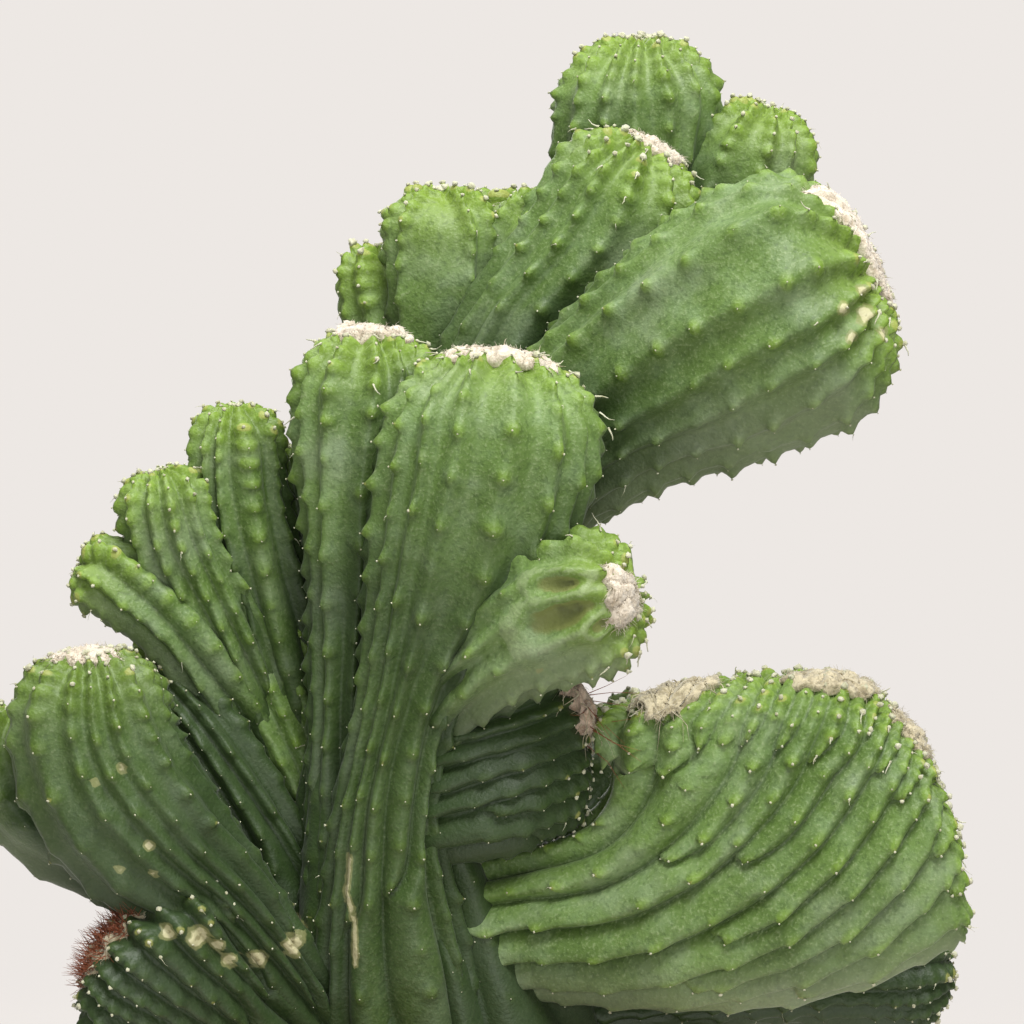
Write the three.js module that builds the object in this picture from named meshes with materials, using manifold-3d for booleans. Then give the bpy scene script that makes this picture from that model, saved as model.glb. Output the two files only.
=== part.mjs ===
// A potted monstrose cereus: one grown body of ribbed fingers and folded crests, with wool on its
// growing tips, standing in a plug of soil in a plain tapered clay pot.
// Millimetres, +Z up. The origin is the middle of the pot's underside, and -Y is the front.
import * as THREE from 'three';
import { mergeVertices } from 'three/addons/utils/BufferGeometryUtils.js';
import Module from 'manifold-3d';

const wasm = await Module();
wasm.setup();

// The pot: a thick clay wall that widens to a plain rim band, with drain holes round a solid middle.
const POT = {
  height: 116,
  footRadius: 52,
  bandHeight: 22,
  bandRadius: 75,
  bandStep: 4,
  wall: 6,
  floor: 8,
  edge: 1.5,
  sides: 48,
};
const DRAIN = { holes: 4, radius: 5, circle: 28, sides: 16 };
// The soil fills the pot to this far below the rim, and its top heaves a little.
const SOIL = { belowRim: 9, heave: 1.2, rings: 5, sides: 40, chamfer: 3, level: 4 };
// Touching pieces keep this clearance.
const GAP = 0.35;

// How much the rows of warts crowd towards a growing tip; 1 would space them evenly.
const CROWDING = 1.5;
// A cross-section is a superellipse: 2 is an ellipse, and more is boxier.
const SQUARENESS = 2.3;
// Ribs and warts never stand out further than these shares of the space between two ribs.
const RIB_SHARE = 0.34;
const WART_SHARE = 0.4;
// A stem swells and shrinks unevenly round its spine by this share, so that no two look alike.
const SWELL = 0.03;
// A root closes over this length, and ribs rise to their full height over the second one.
const HEEL = 4;
const RIB_RISE = 10;

// Every stem follows a spine from its root to its tip. half gives half its width, along across,
// and half its thickness, at each point of the spine, and any third number is the share of the
// width that is left on the side of across. ribs run up it and rows of warts go round it, and rib
// and wart are their heights. dome is the length of its rounded end, and bare that of the plain
// skin at its root. A crest keeps the share ridge of its width right to its tip. The ends of that
// ridge fall behind its middle by arches, the later the higher archPowers are, for the end on the
// side of across and then for the other, and wave sways the ridge to and fro in half-waves.
const STEMS = {
  trunk: {
    spine: [[0, 0, 72], [0, 0, 100], [-2, -2, 129], [-6, -4, 158], [-11, -4, 188], [-13, -2, 212]],
    half: [[36, 30], [38, 31], [39, 31], [29, 27], [19, 22], [12, 14]],
    ribs: 14, rows: 4, rib: 3, wart: 0.8, dome: 12, bare: 40,
  },
  front_finger: {
    spine: [
      [-4, -14, 114], [-8, -21, 148], [-9, -27, 183], [-3, -29, 216],
      [7, -28, 245], [14, -26, 270], [17, -22, 292],
    ],
    half: [[22, 17], [18, 15], [13, 11], [13, 12], [23, 18], [26, 21], [24, 20]],
    ribs: 12, rows: 8, rib: 1.7, wart: 1.5, dome: 19,
  },
  second_finger: {
    spine: [
      [-16, -10, 116], [-18, -14, 150], [-20, -14, 185], [-19, -12, 221],
      [-17, -10, 247], [-15, -6, 273], [-14, -4, 296],
    ],
    half: [[16, 16], [13, 14], [9, 10], [9.5, 11], [12.5, 15], [17, 18], [17, 17]],
    ribs: 10, rows: 6, rib: 1.7, wart: 1.4, dome: 17,
  },
  right_thumb: {
    spine: [[-7, -14, 174], [1, -24, 206], [15, -32, 225], [32, -38, 235], [48, -44, 240]],
    half: [[8, 8], [9.5, 10], [13.5, 13], [16, 15], [15, 14]],
    ribs: 10, rows: 5, rib: 2.0, wart: 1.7, dome: 11, across: [-0.4, 0, 1],
  },
  big_right: {
    spine: [
      [-8, 4, 185], [2, 12, 222], [18, 14, 252], [42, 10, 275],
      [66, 4, 291], [86, -2, 302], [106, -6, 311],
    ],
    half: [[10, 10], [14, 14], [16, 18], [22, 24], [29.5, 27], [32, 27], [29, 24]],
    ribs: 12, rows: 7, rib: 1.8, wart: 1.5, dome: 19, across: [-0.4, 0, 1],
  },
  upper_mid: {
    spine: [[-1, 18, 218], [7, 28, 254], [22, 32, 287], [40, 34, 313], [54, 32, 339]],
    half: [[10, 10], [15, 14], [19, 17], [20, 18], [18, 17]],
    ribs: 10, rows: 5, rib: 1.7, wart: 1.5, dome: 16,
  },
  upper_mid_left: {
    spine: [[2, 24, 242], [8, 42, 282], [20, 44, 305], [32, 46, 324]],
    half: [[9, 9], [13, 11], [13, 12], [12, 11]],
    ribs: 8, rows: 4, rib: 1.5, wart: 1.4, dome: 9,
  },
  top_dome: {
    spine: [[26, 42, 276], [44, 58, 314], [51, 62, 341], [52, 62, 365]],
    half: [[11, 11], [16, 15], [20, 19], [20, 19]],
    ribs: 12, rows: 4, rib: 1.4, wart: 1.4, dome: 18,
  },
  top_right: {
    spine: [[38, 48, 290], [64, 58, 311], [79, 60, 330], [85, 60, 348]],
    half: [[9, 9], [14, 13], [16, 15], [14, 14]],
    ribs: 10, rows: 4, rib: 1.2, wart: 1.3, dome: 13,
  },
  left_dome: {
    spine: [[-1, 28, 240], [3, 40, 278], [2, 42, 305], [2, 42, 328]],
    half: [[9, 9], [12.5, 12], [14, 14], [13.5, 13]],
    ribs: 8, rows: 5, rib: 1.5, wart: 1.3, dome: 12,
  },
  left_dome_small: {
    spine: [[-1, 32, 240], [-8, 46, 277], [-14, 50, 297], [-15, 52, 313]],
    half: [[7, 7], [8.5, 9], [9.5, 10], [9, 9]],
    ribs: 8, rows: 4, rib: 1.3, wart: 1.1, dome: 8,
  },
  back_knob: {
    spine: [[8, 46, 270], [15, 70, 308], [16, 73, 326]],
    half: [[7, 7], [9, 9], [8, 8]],
    ribs: 6, rows: 3, rib: 1.2, wart: 1.1, dome: 7,
  },
  fan: {
    spine: [[-14, -4, 116], [-20, 2, 146], [-32, 6, 178], [-46, 8, 204], [-58, 8, 229]],
    half: [[18, 16], [17, 13], [20, 12], [27, 11], [29, 9]],
    ribs: 14, rows: 5, rib: 2.4, wart: 1.2, dome: 9, across: [0.8, 0, 0.55], ridge: 0.85, arches: [8, 8],
  },
  fan_finger_tall: {
    spine: [[-26, 9, 180], [-38, 7, 224], [-46, 6, 254], [-47, 6, 278]],
    half: [[7, 7], [11, 10], [11, 11], [10, 10]],
    ribs: 8, rows: 5, rib: 1.3, wart: 1.4, dome: 10,
  },
  fan_finger_thin: {
    spine: [[-22, 12, 194], [-30, 11, 238], [-34, 12, 267]],
    half: [[6, 6], [7, 7], [6, 6]],
    ribs: 6, rows: 4, rib: 1.2, wart: 1.2, dome: 6,
  },
  fan_finger_mid: {
    spine: [[-30, 9, 172], [-50, 3, 222], [-61, 0, 247], [-65, 0, 263]],
    half: [[7, 7], [11, 10], [11.5, 11], [10.5, 10]],
    ribs: 8, rows: 5, rib: 1.5, wart: 1.4, dome: 9,
  },
  fan_finger_low: {
    spine: [[-34, 8, 180], [-57, -1, 219], [-73, -3, 234], [-85, -3, 240]],
    half: [[7, 7], [9, 9], [9, 9], [8.5, 8]],
    ribs: 8, rows: 5, rib: 1.6, wart: 1.2, dome: 7,
  },
  fan_lower: {
    spine: [[-22, -2, 138], [-41, -4, 170], [-57, -3, 193], [-73, 1, 213]],
    half: [[10, 10], [13, 11], [14, 10], [13, 8]],
    ribs: 8, rows: 5, rib: 2.2, wart: 1.6, dome: 7, across: [0.8, 0, 0.6], ridge: 0.5, arches: [2, 2],
  },
  left_finger: {
    spine: [
      [-24, -18, 126], [-36, -27, 147], [-50, -33, 166],
      [-65, -36, 181], [-76, -37, 200], [-79, -36, 225],
    ],
    half: [[9, 9], [9.5, 10], [13, 13], [18, 17], [18.5, 17], [16, 15]],
    ribs: 12, rows: 6, rib: 1.3, wart: 1.2, dome: 14, across: [0.5, 0, 0.86],
  },
  left_finger_back: {
    spine: [[-46, -12, 166], [-71, -16, 173], [-90, -18, 182], [-100, -17, 195], [-99, -16, 208]],
    half: [[9, 9], [12, 12], [12, 12], [11, 11], [10, 10]],
    ribs: 8, rows: 4, rib: 1.4, wart: 1.3, dome: 9, across: [0.5, 0, 0.86],
  },
  basal_crest_left: {
    spine: [[-20, -16, 116], [-41, -30, 131], [-59, -40, 146], [-75, -44, 158]],
    half: [[9, 9], [13, 9], [19, 10], [29, 10]],
    ribs: 14, rows: 5, rib: 2.4, wart: 1.6, dome: 8, across: [0.6, 0, 0.8], ridge: 0.88, arches: [15, 15],
  },
  right_crest: {
    spine: [[-2, -6, 150], [27, -14, 159], [55, -22, 168], [83, -26, 187], [103, -24, 214]],
    half: [[14, 15], [22, 16, 0.7], [30, 17, 0.6], [42, 17, 0.8], [51, 14]],
    ribs: 28, rows: 5, rib: 2.8, wart: 1.6, dome: 13, across: [-0.78, 0, 0.63],
    ridge: 0.9, arches: [46, 35], archPowers: [1.5, 2.3], wave: 8, waves: 0.5,
  },
  inner_fold: {
    spine: [[-9, -14, 178], [4, -25, 189], [20, -26, 196], [35, -16, 200]],
    half: [[10, 8], [16, 10], [19, 10], [20, 9]],
    ribs: 14, rows: 4, rib: 2.4, wart: 1.6, dome: 8, across: [0, 0, 1], ridge: 0.85, arches: [4, 4],
  },
  lower_crest: {
    spine: [[4, 4, 129], [45, 8, 131], [88, 11, 134], [129, 10, 136]],
    half: [[8, 10], [9, 12], [11, 12], [17, 10]],
    ribs: 16, rows: 4, rib: 2.2, wart: 1.6, dome: 10, across: [0, 0, 1], ridge: 0.8, arches: [9, 9],
  },
  back_finger_tall: {
    spine: [[-2, 12, 150], [-6, 36, 190], [-4, 54, 226], [-4, 58, 252]],
    half: [[10, 10], [14, 13], [17, 16], [16, 15]],
    ribs: 8, rows: 4, rib: 1.6, wart: 1.4, dome: 14,
  },
  back_finger_low: {
    spine: [[-8, 10, 134], [-28, 40, 160], [-40, 56, 186], [-42, 60, 206]],
    half: [[9, 9], [13, 12], [15, 14], [14, 13]],
    ribs: 8, rows: 4, rib: 1.6, wart: 1.4, dome: 12,
  },
  back_finger_right: {
    spine: [[6, 10, 136], [30, 38, 150], [50, 56, 172], [58, 62, 194]],
    half: [[9, 9], [13, 13], [16, 15], [15, 14]],
    ribs: 8, rows: 4, rib: 1.6, wart: 1.4, dome: 13,
  },
};

// Wool pads lie on the growing tips. around says where along a ridge, from 0 at one end to 0.5 at
// the other, and size is the pad's half-length along the ridge, its half-width and its height.
// shift moves the pad off the tip, along the ridge and across it.
const WOOL = {
  wool_front_finger: { stem: 'front_finger', size: [13, 9.5, 3.2] },
  wool_second_finger: { stem: 'second_finger', size: [9, 8, 3] },
  wool_thumb: { stem: 'right_thumb', shift: [0, -3], size: [8, 7, 2.6] },
  wool_big_right: { stem: 'big_right', shift: [10, -3], size: [16, 7, 3] },
  wool_upper_mid: { stem: 'upper_mid', shift: [2, 0], size: [8.5, 6.5, 2.6] },
  wool_left_finger: { stem: 'left_finger', size: [8, 7, 1.8] },
  wool_crest_left: { stem: 'right_crest', around: 0.065, shift: [0, -3], size: [9, 6, 2.6] },
  wool_crest_middle: { stem: 'right_crest', around: 0.215, shift: [0, -4], size: [12, 6.5, 2.6] },
  wool_crest_right: { stem: 'right_crest', around: 0.325, shift: [0, -3], size: [10, 5.5, 2.4] },
};
const RUST = {
  rust_wool_basal: { stem: 'basal_crest_left', size: [13, 6, 3], bristles: 30 },
  rust_wool_fold: { stem: 'inner_fold', around: 0.1, shift: [0, -3], size: [9, 7, 3.4], bristles: 16 },
};
// A pad's middle lies this far under the tip, so that the pad lies round it.
const PAD = { sink: 3, lump: 0.12, across: 12, rows: 6 };
const BRISTLE = { length: 7, radius: 0.45, sides: 3, splay: 0.8 };

const vector = (point) => new THREE.Vector3(...point);
const smoothCurve = (points) => new THREE.CatmullRomCurve3(points, false, 'catmullrom', 0.5);

// A curve's length, and the parameter at which a length along it is reached.
function measure(curve, steps = 60) {
  const lengths = [0];
  let last = curve.getPoint(0);
  for (let i = 1; i <= steps; i++) {
    const next = curve.getPoint(i / steps);
    lengths.push(lengths[i - 1] + next.distanceTo(last));
    last = next;
  }
  const parameterAt = (along) => {
    const i = Math.max(1, lengths.findIndex((length) => length >= along));
    return (i - 1 + (along - lengths[i - 1]) / (lengths[i] - lengths[i - 1])) / steps;
  };
  return { total: lengths[steps], parameterAt };
}

// A stem's numbers with its curves worked out and its defaults filled in.
function prepare(shape, seed) {
  const spine = smoothCurve(shape.spine.map(vector));
  return {
    across: [1, 0, 0],
    bare: 0,
    ridge: 0,
    arches: [0, 0],
    archPowers: [2, 2],
    wave: 0,
    waves: 1,
    ...shape,
    spine,
    sizes: smoothCurve(shape.half.map(([a, b, kept = 1]) => new THREE.Vector3(a, b, kept))),
    length: measure(spine),
    seed: 1.7 * seed,
  };
}

const stems = {};
Object.entries(STEMS).forEach(([name, shape], seed) => {
  stems[name] = prepare(shape, seed);
});

// Points spaced evenly round a superellipse of half-sizes a and b, from +a towards +b. Its +a side
// keeps only the share kept of its width.
function sectionPoints(a, b, kept, count) {
  const fine = 8 * count;
  const power = 2 / SQUARENESS;
  const pointAt = (k) => {
    const angle = (2 * Math.PI * k) / fine;
    const [c, s] = [Math.cos(angle), Math.sin(angle)];
    const side = c > 0 ? kept * a : -a;
    return [side * Math.abs(c) ** power, b * Math.sign(s) * Math.abs(s) ** power];
  };
  const lengths = [0];
  for (let k = 1; k <= fine; k++) {
    const [p, q] = [pointAt(k - 1), pointAt(k)];
    lengths.push(lengths[k - 1] + Math.hypot(q[0] - p[0], q[1] - p[1]));
  }
  const points = [];
  let k = 1;
  for (let i = 0; i < count; i++) {
    const wanted = (lengths[fine] * i) / count;
    while (lengths[k] < wanted) k++;
    const part = (wanted - lengths[k - 1]) / (lengths[k] - lengths[k - 1]);
    const [p, q] = [pointAt(k - 1), pointAt(k)];
    points.push([p[0] + part * (q[0] - p[0]), p[1] + part * (q[1] - p[1])]);
  }
  return { points, perimeter: lengths[fine] };
}

// The directions of a stem's width, thickness and growth at a point of its spine.
function directions(stem, t) {
  const tangent = stem.spine.getTangent(t);
  const across = vector(stem.across);
  across.addScaledVector(tangent, -across.dot(tangent)).normalize();
  return { tangent, across, front: across.clone().cross(tangent) };
}

// One row of a stem's smooth skin, at a share of the way from root to tip. The first row and a
// pointed last row shrink to a point, and a crest's last row to a line.
function skinRow(stem, share, columns) {
  const { length, dome, ridge } = stem;
  const shaft = length.total - dome;
  const domeArc = (Math.PI / 2) * Math.sqrt((dome ** 2 + stem.sizes.getPoint(1).y ** 2) / 2);
  const grown = 1 - (1 - share) ** CROWDING;
  const skinLength = grown * (shaft + domeArc);
  const turn = (Math.max(0, skinLength - shaft) / domeArc) * (Math.PI / 2);
  const along = turn ? shaft + dome * Math.sin(turn) : skinLength;
  const t = length.parameterAt(Math.min(along, length.total));
  const { tangent, across, front } = directions(stem, t);
  const centre = stem.spine.getPoint(t);
  const size = stem.sizes.getPoint(t);
  const narrowing = Math.cos(turn);
  const rooted = Math.sqrt(Math.min(1, skinLength / HEEL));
  const a = size.x * (ridge + (1 - ridge) * narrowing) * rooted;
  const b = size.y * narrowing * rooted;
  const kept = size.z;
  const { points, perimeter } = sectionPoints(Math.max(a, 1e-6), Math.max(b, 1e-6), kept, columns);
  const shut = share === 0 || share === 1;
  const halfSpan = shut && !(share && ridge) ? 0 : 1;
  const row = points.map((point, i) => {
    const [x, y] = shut ? [halfSpan * points[Math.min(i, columns - i)][0], 0] : point;
    const bulge = Math.sin((4 * Math.PI * i) / columns + 5 * share + stem.seed) * narrowing;
    const swell = shut ? 1 : 1 + SWELL * bulge;
    const side = a > 1e-3 ? x / (x > 0 ? kept * a : a) : 0;
    const end = side > 0 ? 0 : 1;
    const fall = stem.arches[end] * Math.abs(side) ** stem.archPowers[end] * grown ** 2;
    const sway = stem.wave * grown * Math.sin(Math.PI * side * stem.waves);
    return centre
      .clone()
      .addScaledVector(across, x * swell)
      .addScaledVector(front, y * swell + sway)
      .addScaledVector(tangent, -fall);
  });
  return { row, tangent, pitch: perimeter / stem.ribs, skinLength };
}

// How far the skin is raised at a share of the way round and up: a rib, and a wart on its crest.
// Warts on neighbouring ribs are half a row apart.
function relief(stem, round, share, pitch, skinLength) {
  const place = round * stem.ribs;
  const rib = Math.round(place);
  const crest = 1 - 2 * Math.abs(place - rib);
  const row = share * stem.rows + (rib % 2) / 2;
  const peak = 1 - 2 * Math.abs(row - Math.round(row));
  const fade = THREE.MathUtils.clamp((skinLength - stem.bare) / RIB_RISE, 0, 1);
  const ribHeight = Math.min(stem.rib, RIB_SHARE * pitch) * (crest - 0.5);
  const wartHeight = Math.min(stem.wart, WART_SHARE * pitch) * crest * (peak - 0.3);
  return fade * (ribHeight + wartHeight);
}

// A stem is a sheet with two columns to a rib and two rows to a wart, rolled up round the spine.
// lift moves the whole skin outwards.
function stemGeometry(stem, lift = 0) {
  const columns = 2 * stem.ribs;
  const rows = 2 * stem.rows;
  const skin = Array.from({ length: rows + 1 }, (_, j) => skinRow(stem, j / rows, columns));
  const sheet = new THREE.PlaneGeometry(1, 1, columns, rows);
  const position = sheet.getAttribute('position');
  for (let j = 0; j <= rows; j++) {
    const { row, tangent, pitch, skinLength } = skin[j];
    for (let i = 0; i <= columns; i++) {
      const column = i % columns;
      const point = row[column].clone();
      if (j === 0) {
        point.addScaledVector(tangent, -lift);
      } else if (j === rows) {
        const round = Math.min(column, columns - column) / columns;
        const height = stem.ridge ? relief(stem, round, 1, pitch / 2, skinLength) : 0;
        point.addScaledVector(tangent, height + lift);
      } else {
        const height = relief(stem, column / columns, j / rows, pitch, skinLength);
        const upwards = skin[j + 1].row[column].clone().sub(skin[j - 1].row[column]);
        const sideways = row[(i + 1) % columns].clone().sub(row[(i + columns - 1) % columns]);
        point.addScaledVector(upwards.cross(sideways).normalize(), height + lift);
      }
      position.setXYZ(j * (columns + 1) + i, point.x, point.y, point.z);
    }
  }
  return sheet;
}

// Welds a geometry into a closed solid, leaving out triangles that the weld has flattened.
function solid(geometry) {
  const bare = geometry.clone();
  bare.deleteAttribute('normal');
  bare.deleteAttribute('uv');
  const welded = mergeVertices(bare, 1e-3);
  const { array } = welded.index;
  const triVerts = [];
  for (let i = 0; i < array.length; i += 3) {
    const [a, b, c] = array.slice(i, i + 3);
    if (a !== b && b !== c && c !== a) triVerts.push(a, b, c);
  }
  return new wasm.Manifold(
    new wasm.Mesh({
      numProp: 3,
      vertProperties: welded.getAttribute('position').array,
      triVerts: new Uint32Array(triVerts),
    })
  );
}

const joined = (solids) => solids.reduce((sum, next) => sum.add(next));

// The biggest connected piece of a solid, with the hollows inside it filled.
const mainBody = (shape) =>
  shape.decompose().reduce((best, next) => (next.volume() > best.volume() ? next : best));

const allStems = (lift) => joined(Object.values(stems).map((stem) => solid(stemGeometry(stem, lift))));

// A repeatable stream of numbers between -1 and 1.
function randomStream(seed) {
  let state = seed;
  return () => {
    state = (state * 16807) % 2147483647;
    return (2 * state) / 2147483647 - 1;
  };
}

// A lumpy blob of felt set on a tip, with any bristles; what is inside the plant is cut away later.
function padSolid({ stem: name, around = 0.25, shift = [0, 0], size, bristles = 0 }, seed) {
  const stem = stems[name];
  const [long, wide, high] = size;
  const columns = 4 * stem.ribs;
  const middle = skinRow(stem, 1, columns).row[Math.round(around * columns)];
  const { tangent, across, front } = directions(stem, 1);
  const { x: halfWidth, y: halfThickness } = stem.sizes.getPoint(1);
  const flatness = 1 - (stem.ridge ? 0 : shift[0] / halfWidth) ** 2 - (shift[1] / halfThickness) ** 2;
  const drop = stem.dome * (1 - Math.sqrt(flatness));
  middle.addScaledVector(across, shift[0]).addScaledVector(front, shift[1]);
  middle.addScaledVector(tangent, -PAD.sink - drop);
  const at = (x, y, z) =>
    middle.clone().addScaledVector(across, x).addScaledVector(front, y).addScaledVector(tangent, z);
  const blob = new THREE.SphereGeometry(1, PAD.across, PAD.rows);
  const position = blob.getAttribute('position');
  const point = new THREE.Vector3();
  for (let i = 0; i < position.count; i++) {
    point.fromBufferAttribute(position, i);
    const lump = 1 + PAD.lump * Math.sin(5 * point.x + seed) * Math.cos(4 * point.z - seed);
    const rise = point.y > 0 ? high + PAD.sink : wide;
    position.setXYZ(i, ...at(point.x * long * lump, point.z * wide * lump, point.y * rise * lump));
  }
  const random = randomStream(seed * 97 + 11);
  const needles = Array.from({ length: bristles }, () => {
    const needle = new THREE.ConeGeometry(BRISTLE.radius, BRISTLE.length, BRISTLE.sides);
    const way = at(random() * BRISTLE.splay, random() * BRISTLE.splay, 1).sub(middle).normalize();
    const turn = new THREE.Quaternion().setFromUnitVectors(new THREE.Vector3(0, 1, 0), way);
    const foot = at(0.8 * random() * long, 0.5 * random() * wide, PAD.sink);
    needle.translate(0, BRISTLE.length / 2, 0).applyQuaternion(turn).translate(...foot);
    return solid(needle);
  });
  return joined([solid(blob), ...needles]);
}

function potSolid() {
  const { height, footRadius, bandHeight, bandRadius, bandStep, wall, floor, edge, sides } = POT;
  const bandFoot = height - bandHeight;
  const profile = [
    [0, 0],
    [footRadius - edge, 0],
    [footRadius, edge],
    [bandRadius - bandStep, bandFoot - edge],
    [bandRadius - edge / 2, bandFoot],
    [bandRadius, bandFoot + edge],
    [bandRadius, height - edge],
    [bandRadius - edge, height],
    [bandRadius - wall, height],
    [bandRadius - wall - edge, height - edge],
    [footRadius - wall, floor + edge],
    [footRadius - wall - edge, floor],
    [0, floor],
  ].map(([radius, z]) => new THREE.Vector2(radius, z));
  const holes = Array.from({ length: DRAIN.holes }, (_, i) => {
    const turn = (2 * Math.PI * (i + 0.5)) / DRAIN.holes;
    return solid(
      new THREE.CylinderGeometry(DRAIN.radius, DRAIN.radius, 4 * floor, DRAIN.sides)
        .rotateX(Math.PI / 2)
        .translate(DRAIN.circle * Math.cos(turn), DRAIN.circle * Math.sin(turn), 0)
    );
  });
  return solid(new THREE.LatheGeometry(profile, sides).rotateX(Math.PI / 2)).subtract(joined(holes));
}

// The radius of the pot's inner wall at a height.
function innerRadius(z) {
  const { footRadius, bandRadius, wall, floor, edge, height } = POT;
  return THREE.MathUtils.mapLinear(
    z, floor + edge, height - edge, footRadius - wall, bandRadius - wall - edge
  );
}

function soilSolid() {
  const { rings, sides, heave, chamfer, level } = SOIL;
  const top = POT.height - SOIL.belowRim;
  const bottom = POT.floor + GAP;
  const low = bottom + chamfer;
  const profile = [[0, bottom], [innerRadius(low) - chamfer, bottom], [innerRadius(low) - GAP, low]];
  for (let i = rings; i >= 0; i--) {
    profile.push([((innerRadius(top) - GAP) * i) / rings, top]);
  }
  const points = profile.map(([radius, z]) => new THREE.Vector2(radius, z));
  const lathe = new THREE.LatheGeometry(points, sides).rotateX(Math.PI / 2);
  const position = lathe.getAttribute('position');
  const point = new THREE.Vector3();
  for (let i = 0; i < position.count; i++) {
    point.fromBufferAttribute(position, i);
    const heaves = point.z > top - 1 && Math.hypot(point.x, point.y) < innerRadius(top) - level;
    const { x, y } = point;
    const bump = Math.sin(0.21 * x + 1) * Math.cos(0.17 * y) + Math.sin(0.4 * (x - y));
    if (heaves) position.setZ(i, top + heave * bump);
  }
  return solid(lathe).subtract(solid(stemGeometry(stems.trunk, GAP)));
}

const finish = (color, roughness) => new THREE.MeshStandardMaterial({ color, roughness, metalness: 0 });
const FINISHES = {
  flesh: finish(0x5b7f4c, 0.55),
  wool: finish(0xd9d0c2, 0.95),
  rust: finish(0x96604a, 0.95),
  soil: finish(0x4a3a2e, 1),
  clay: finish(0xb56f4e, 0.85),
};

const plant = new THREE.Group();

function addPiece(name, shape, material) {
  const { vertProperties, triVerts } = mainBody(shape).getMesh();
  const geometry = new THREE.BufferGeometry();
  geometry.setAttribute('position', new THREE.BufferAttribute(vertProperties, 3));
  geometry.setIndex(new THREE.BufferAttribute(triVerts, 1));
  geometry.computeVertexNormals();
  const mesh = new THREE.Mesh(geometry, material);
  mesh.name = name;
  plant.add(mesh);
}

addPiece('pot', potSolid(), FINISHES.clay);
addPiece('soil', soilSolid(), FINISHES.soil);
addPiece('cactus', allStems(0), FINISHES.flesh);

// Each pad keeps only what lies clear of the plant's skin.
const clearance = allStems(GAP);
Object.entries(WOOL).forEach(([name, pad], i) => {
  addPiece(name, padSolid(pad, i + 1).subtract(clearance), FINISHES.wool);
});
Object.entries(RUST).forEach(([name, pad], i) => {
  addPiece(name, padSolid(pad, i + 20).subtract(clearance), FINISHES.rust);
});

export default plant;
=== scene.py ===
# %% [markdown]
# # A potted monstrose cereus
# The plant is one grown body: fingers, fans and folded crests that all spring from one trunk in a
# clay pot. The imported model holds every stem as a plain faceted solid. Here each stem is made
# again on the same spine, with cord-like ribs, hooked warts, wool and a waxy skin.

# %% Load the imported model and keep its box
import math

import bmesh
import bpy
import numpy as np
from mathutils import Matrix, Vector
from mathutils.bvhtree import BVHTree


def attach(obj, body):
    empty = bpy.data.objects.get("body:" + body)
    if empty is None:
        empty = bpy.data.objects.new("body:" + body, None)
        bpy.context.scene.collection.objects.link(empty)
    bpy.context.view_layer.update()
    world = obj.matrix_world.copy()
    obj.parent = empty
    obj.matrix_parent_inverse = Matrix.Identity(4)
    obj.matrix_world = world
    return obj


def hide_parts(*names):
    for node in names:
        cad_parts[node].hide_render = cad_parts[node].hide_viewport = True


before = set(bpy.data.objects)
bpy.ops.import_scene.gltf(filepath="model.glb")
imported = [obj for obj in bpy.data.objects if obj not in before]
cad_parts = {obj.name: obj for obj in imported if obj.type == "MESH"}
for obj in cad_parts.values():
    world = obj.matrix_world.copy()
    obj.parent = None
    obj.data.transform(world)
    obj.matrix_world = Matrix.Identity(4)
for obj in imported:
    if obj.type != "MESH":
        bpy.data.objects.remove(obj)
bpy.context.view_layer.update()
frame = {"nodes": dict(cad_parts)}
MM = 0.001
print("nodes:", ", ".join(frame["nodes"]))

# %% [markdown]
# ## Camera
# The photograph was taken from the front, a little above the middle of the plant. A camera could
# be placed by eye in the viewport. Here it comes from a target, a height angle and a distance,
# because those can be corrected one at a time. The long lens keeps the fingers from spreading.

# %% Camera
TARGET = Vector((0.01968, 0.0, 0.25209))
ELEVATION = math.radians(8)
DISTANCE = 0.820

camera_data = bpy.data.cameras.new("camera")
camera_data.lens = 120
camera_data.sensor_width = 36
camera_data.clip_start = 0.01
camera = bpy.data.objects.new("camera", camera_data)
camera.location = TARGET + DISTANCE * Vector((0, -math.cos(ELEVATION), math.sin(ELEVATION)))
camera.rotation_euler = (math.pi / 2 - ELEVATION, 0, 0)
bpy.context.collection.objects.link(camera)
bpy.context.scene.camera = camera
bpy.context.scene.view_settings.view_transform = "Standard"
print("camera at", [round(value, 3) for value in camera.location], "metres")

# %% [markdown]
# ## Shader sums
# A procedural material is mostly sums on numbers that vary over the surface. Wrapping a socket
# in a small class lets those sums be written as ordinary expressions, and each operator adds the
# Math node that does it.

# %% Socket arithmetic
class Flow:
    """A number that varies over a surface: the output socket of a node."""

    def __init__(self, paint, socket):
        self.paint = paint
        self.socket = socket

    def sum_with(self, operation, *values):
        return self.paint.node("ShaderNodeMath", {"operation": operation}, *values)

    def __add__(self, other):
        return self.sum_with("ADD", self, other)

    __radd__ = __add__

    def __sub__(self, other):
        return self.sum_with("SUBTRACT", self, other)

    def __rsub__(self, other):
        return self.sum_with("SUBTRACT", other, self)

    def __mul__(self, other):
        return self.sum_with("MULTIPLY", self, other)

    __rmul__ = __mul__

    def step(self, low, high):
        """0 below low, 1 above high, and smooth in between."""
        kind = {"interpolation_type": "SMOOTHSTEP"}
        return self.paint.node("ShaderNodeMapRange", kind, self, low, high)


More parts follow.
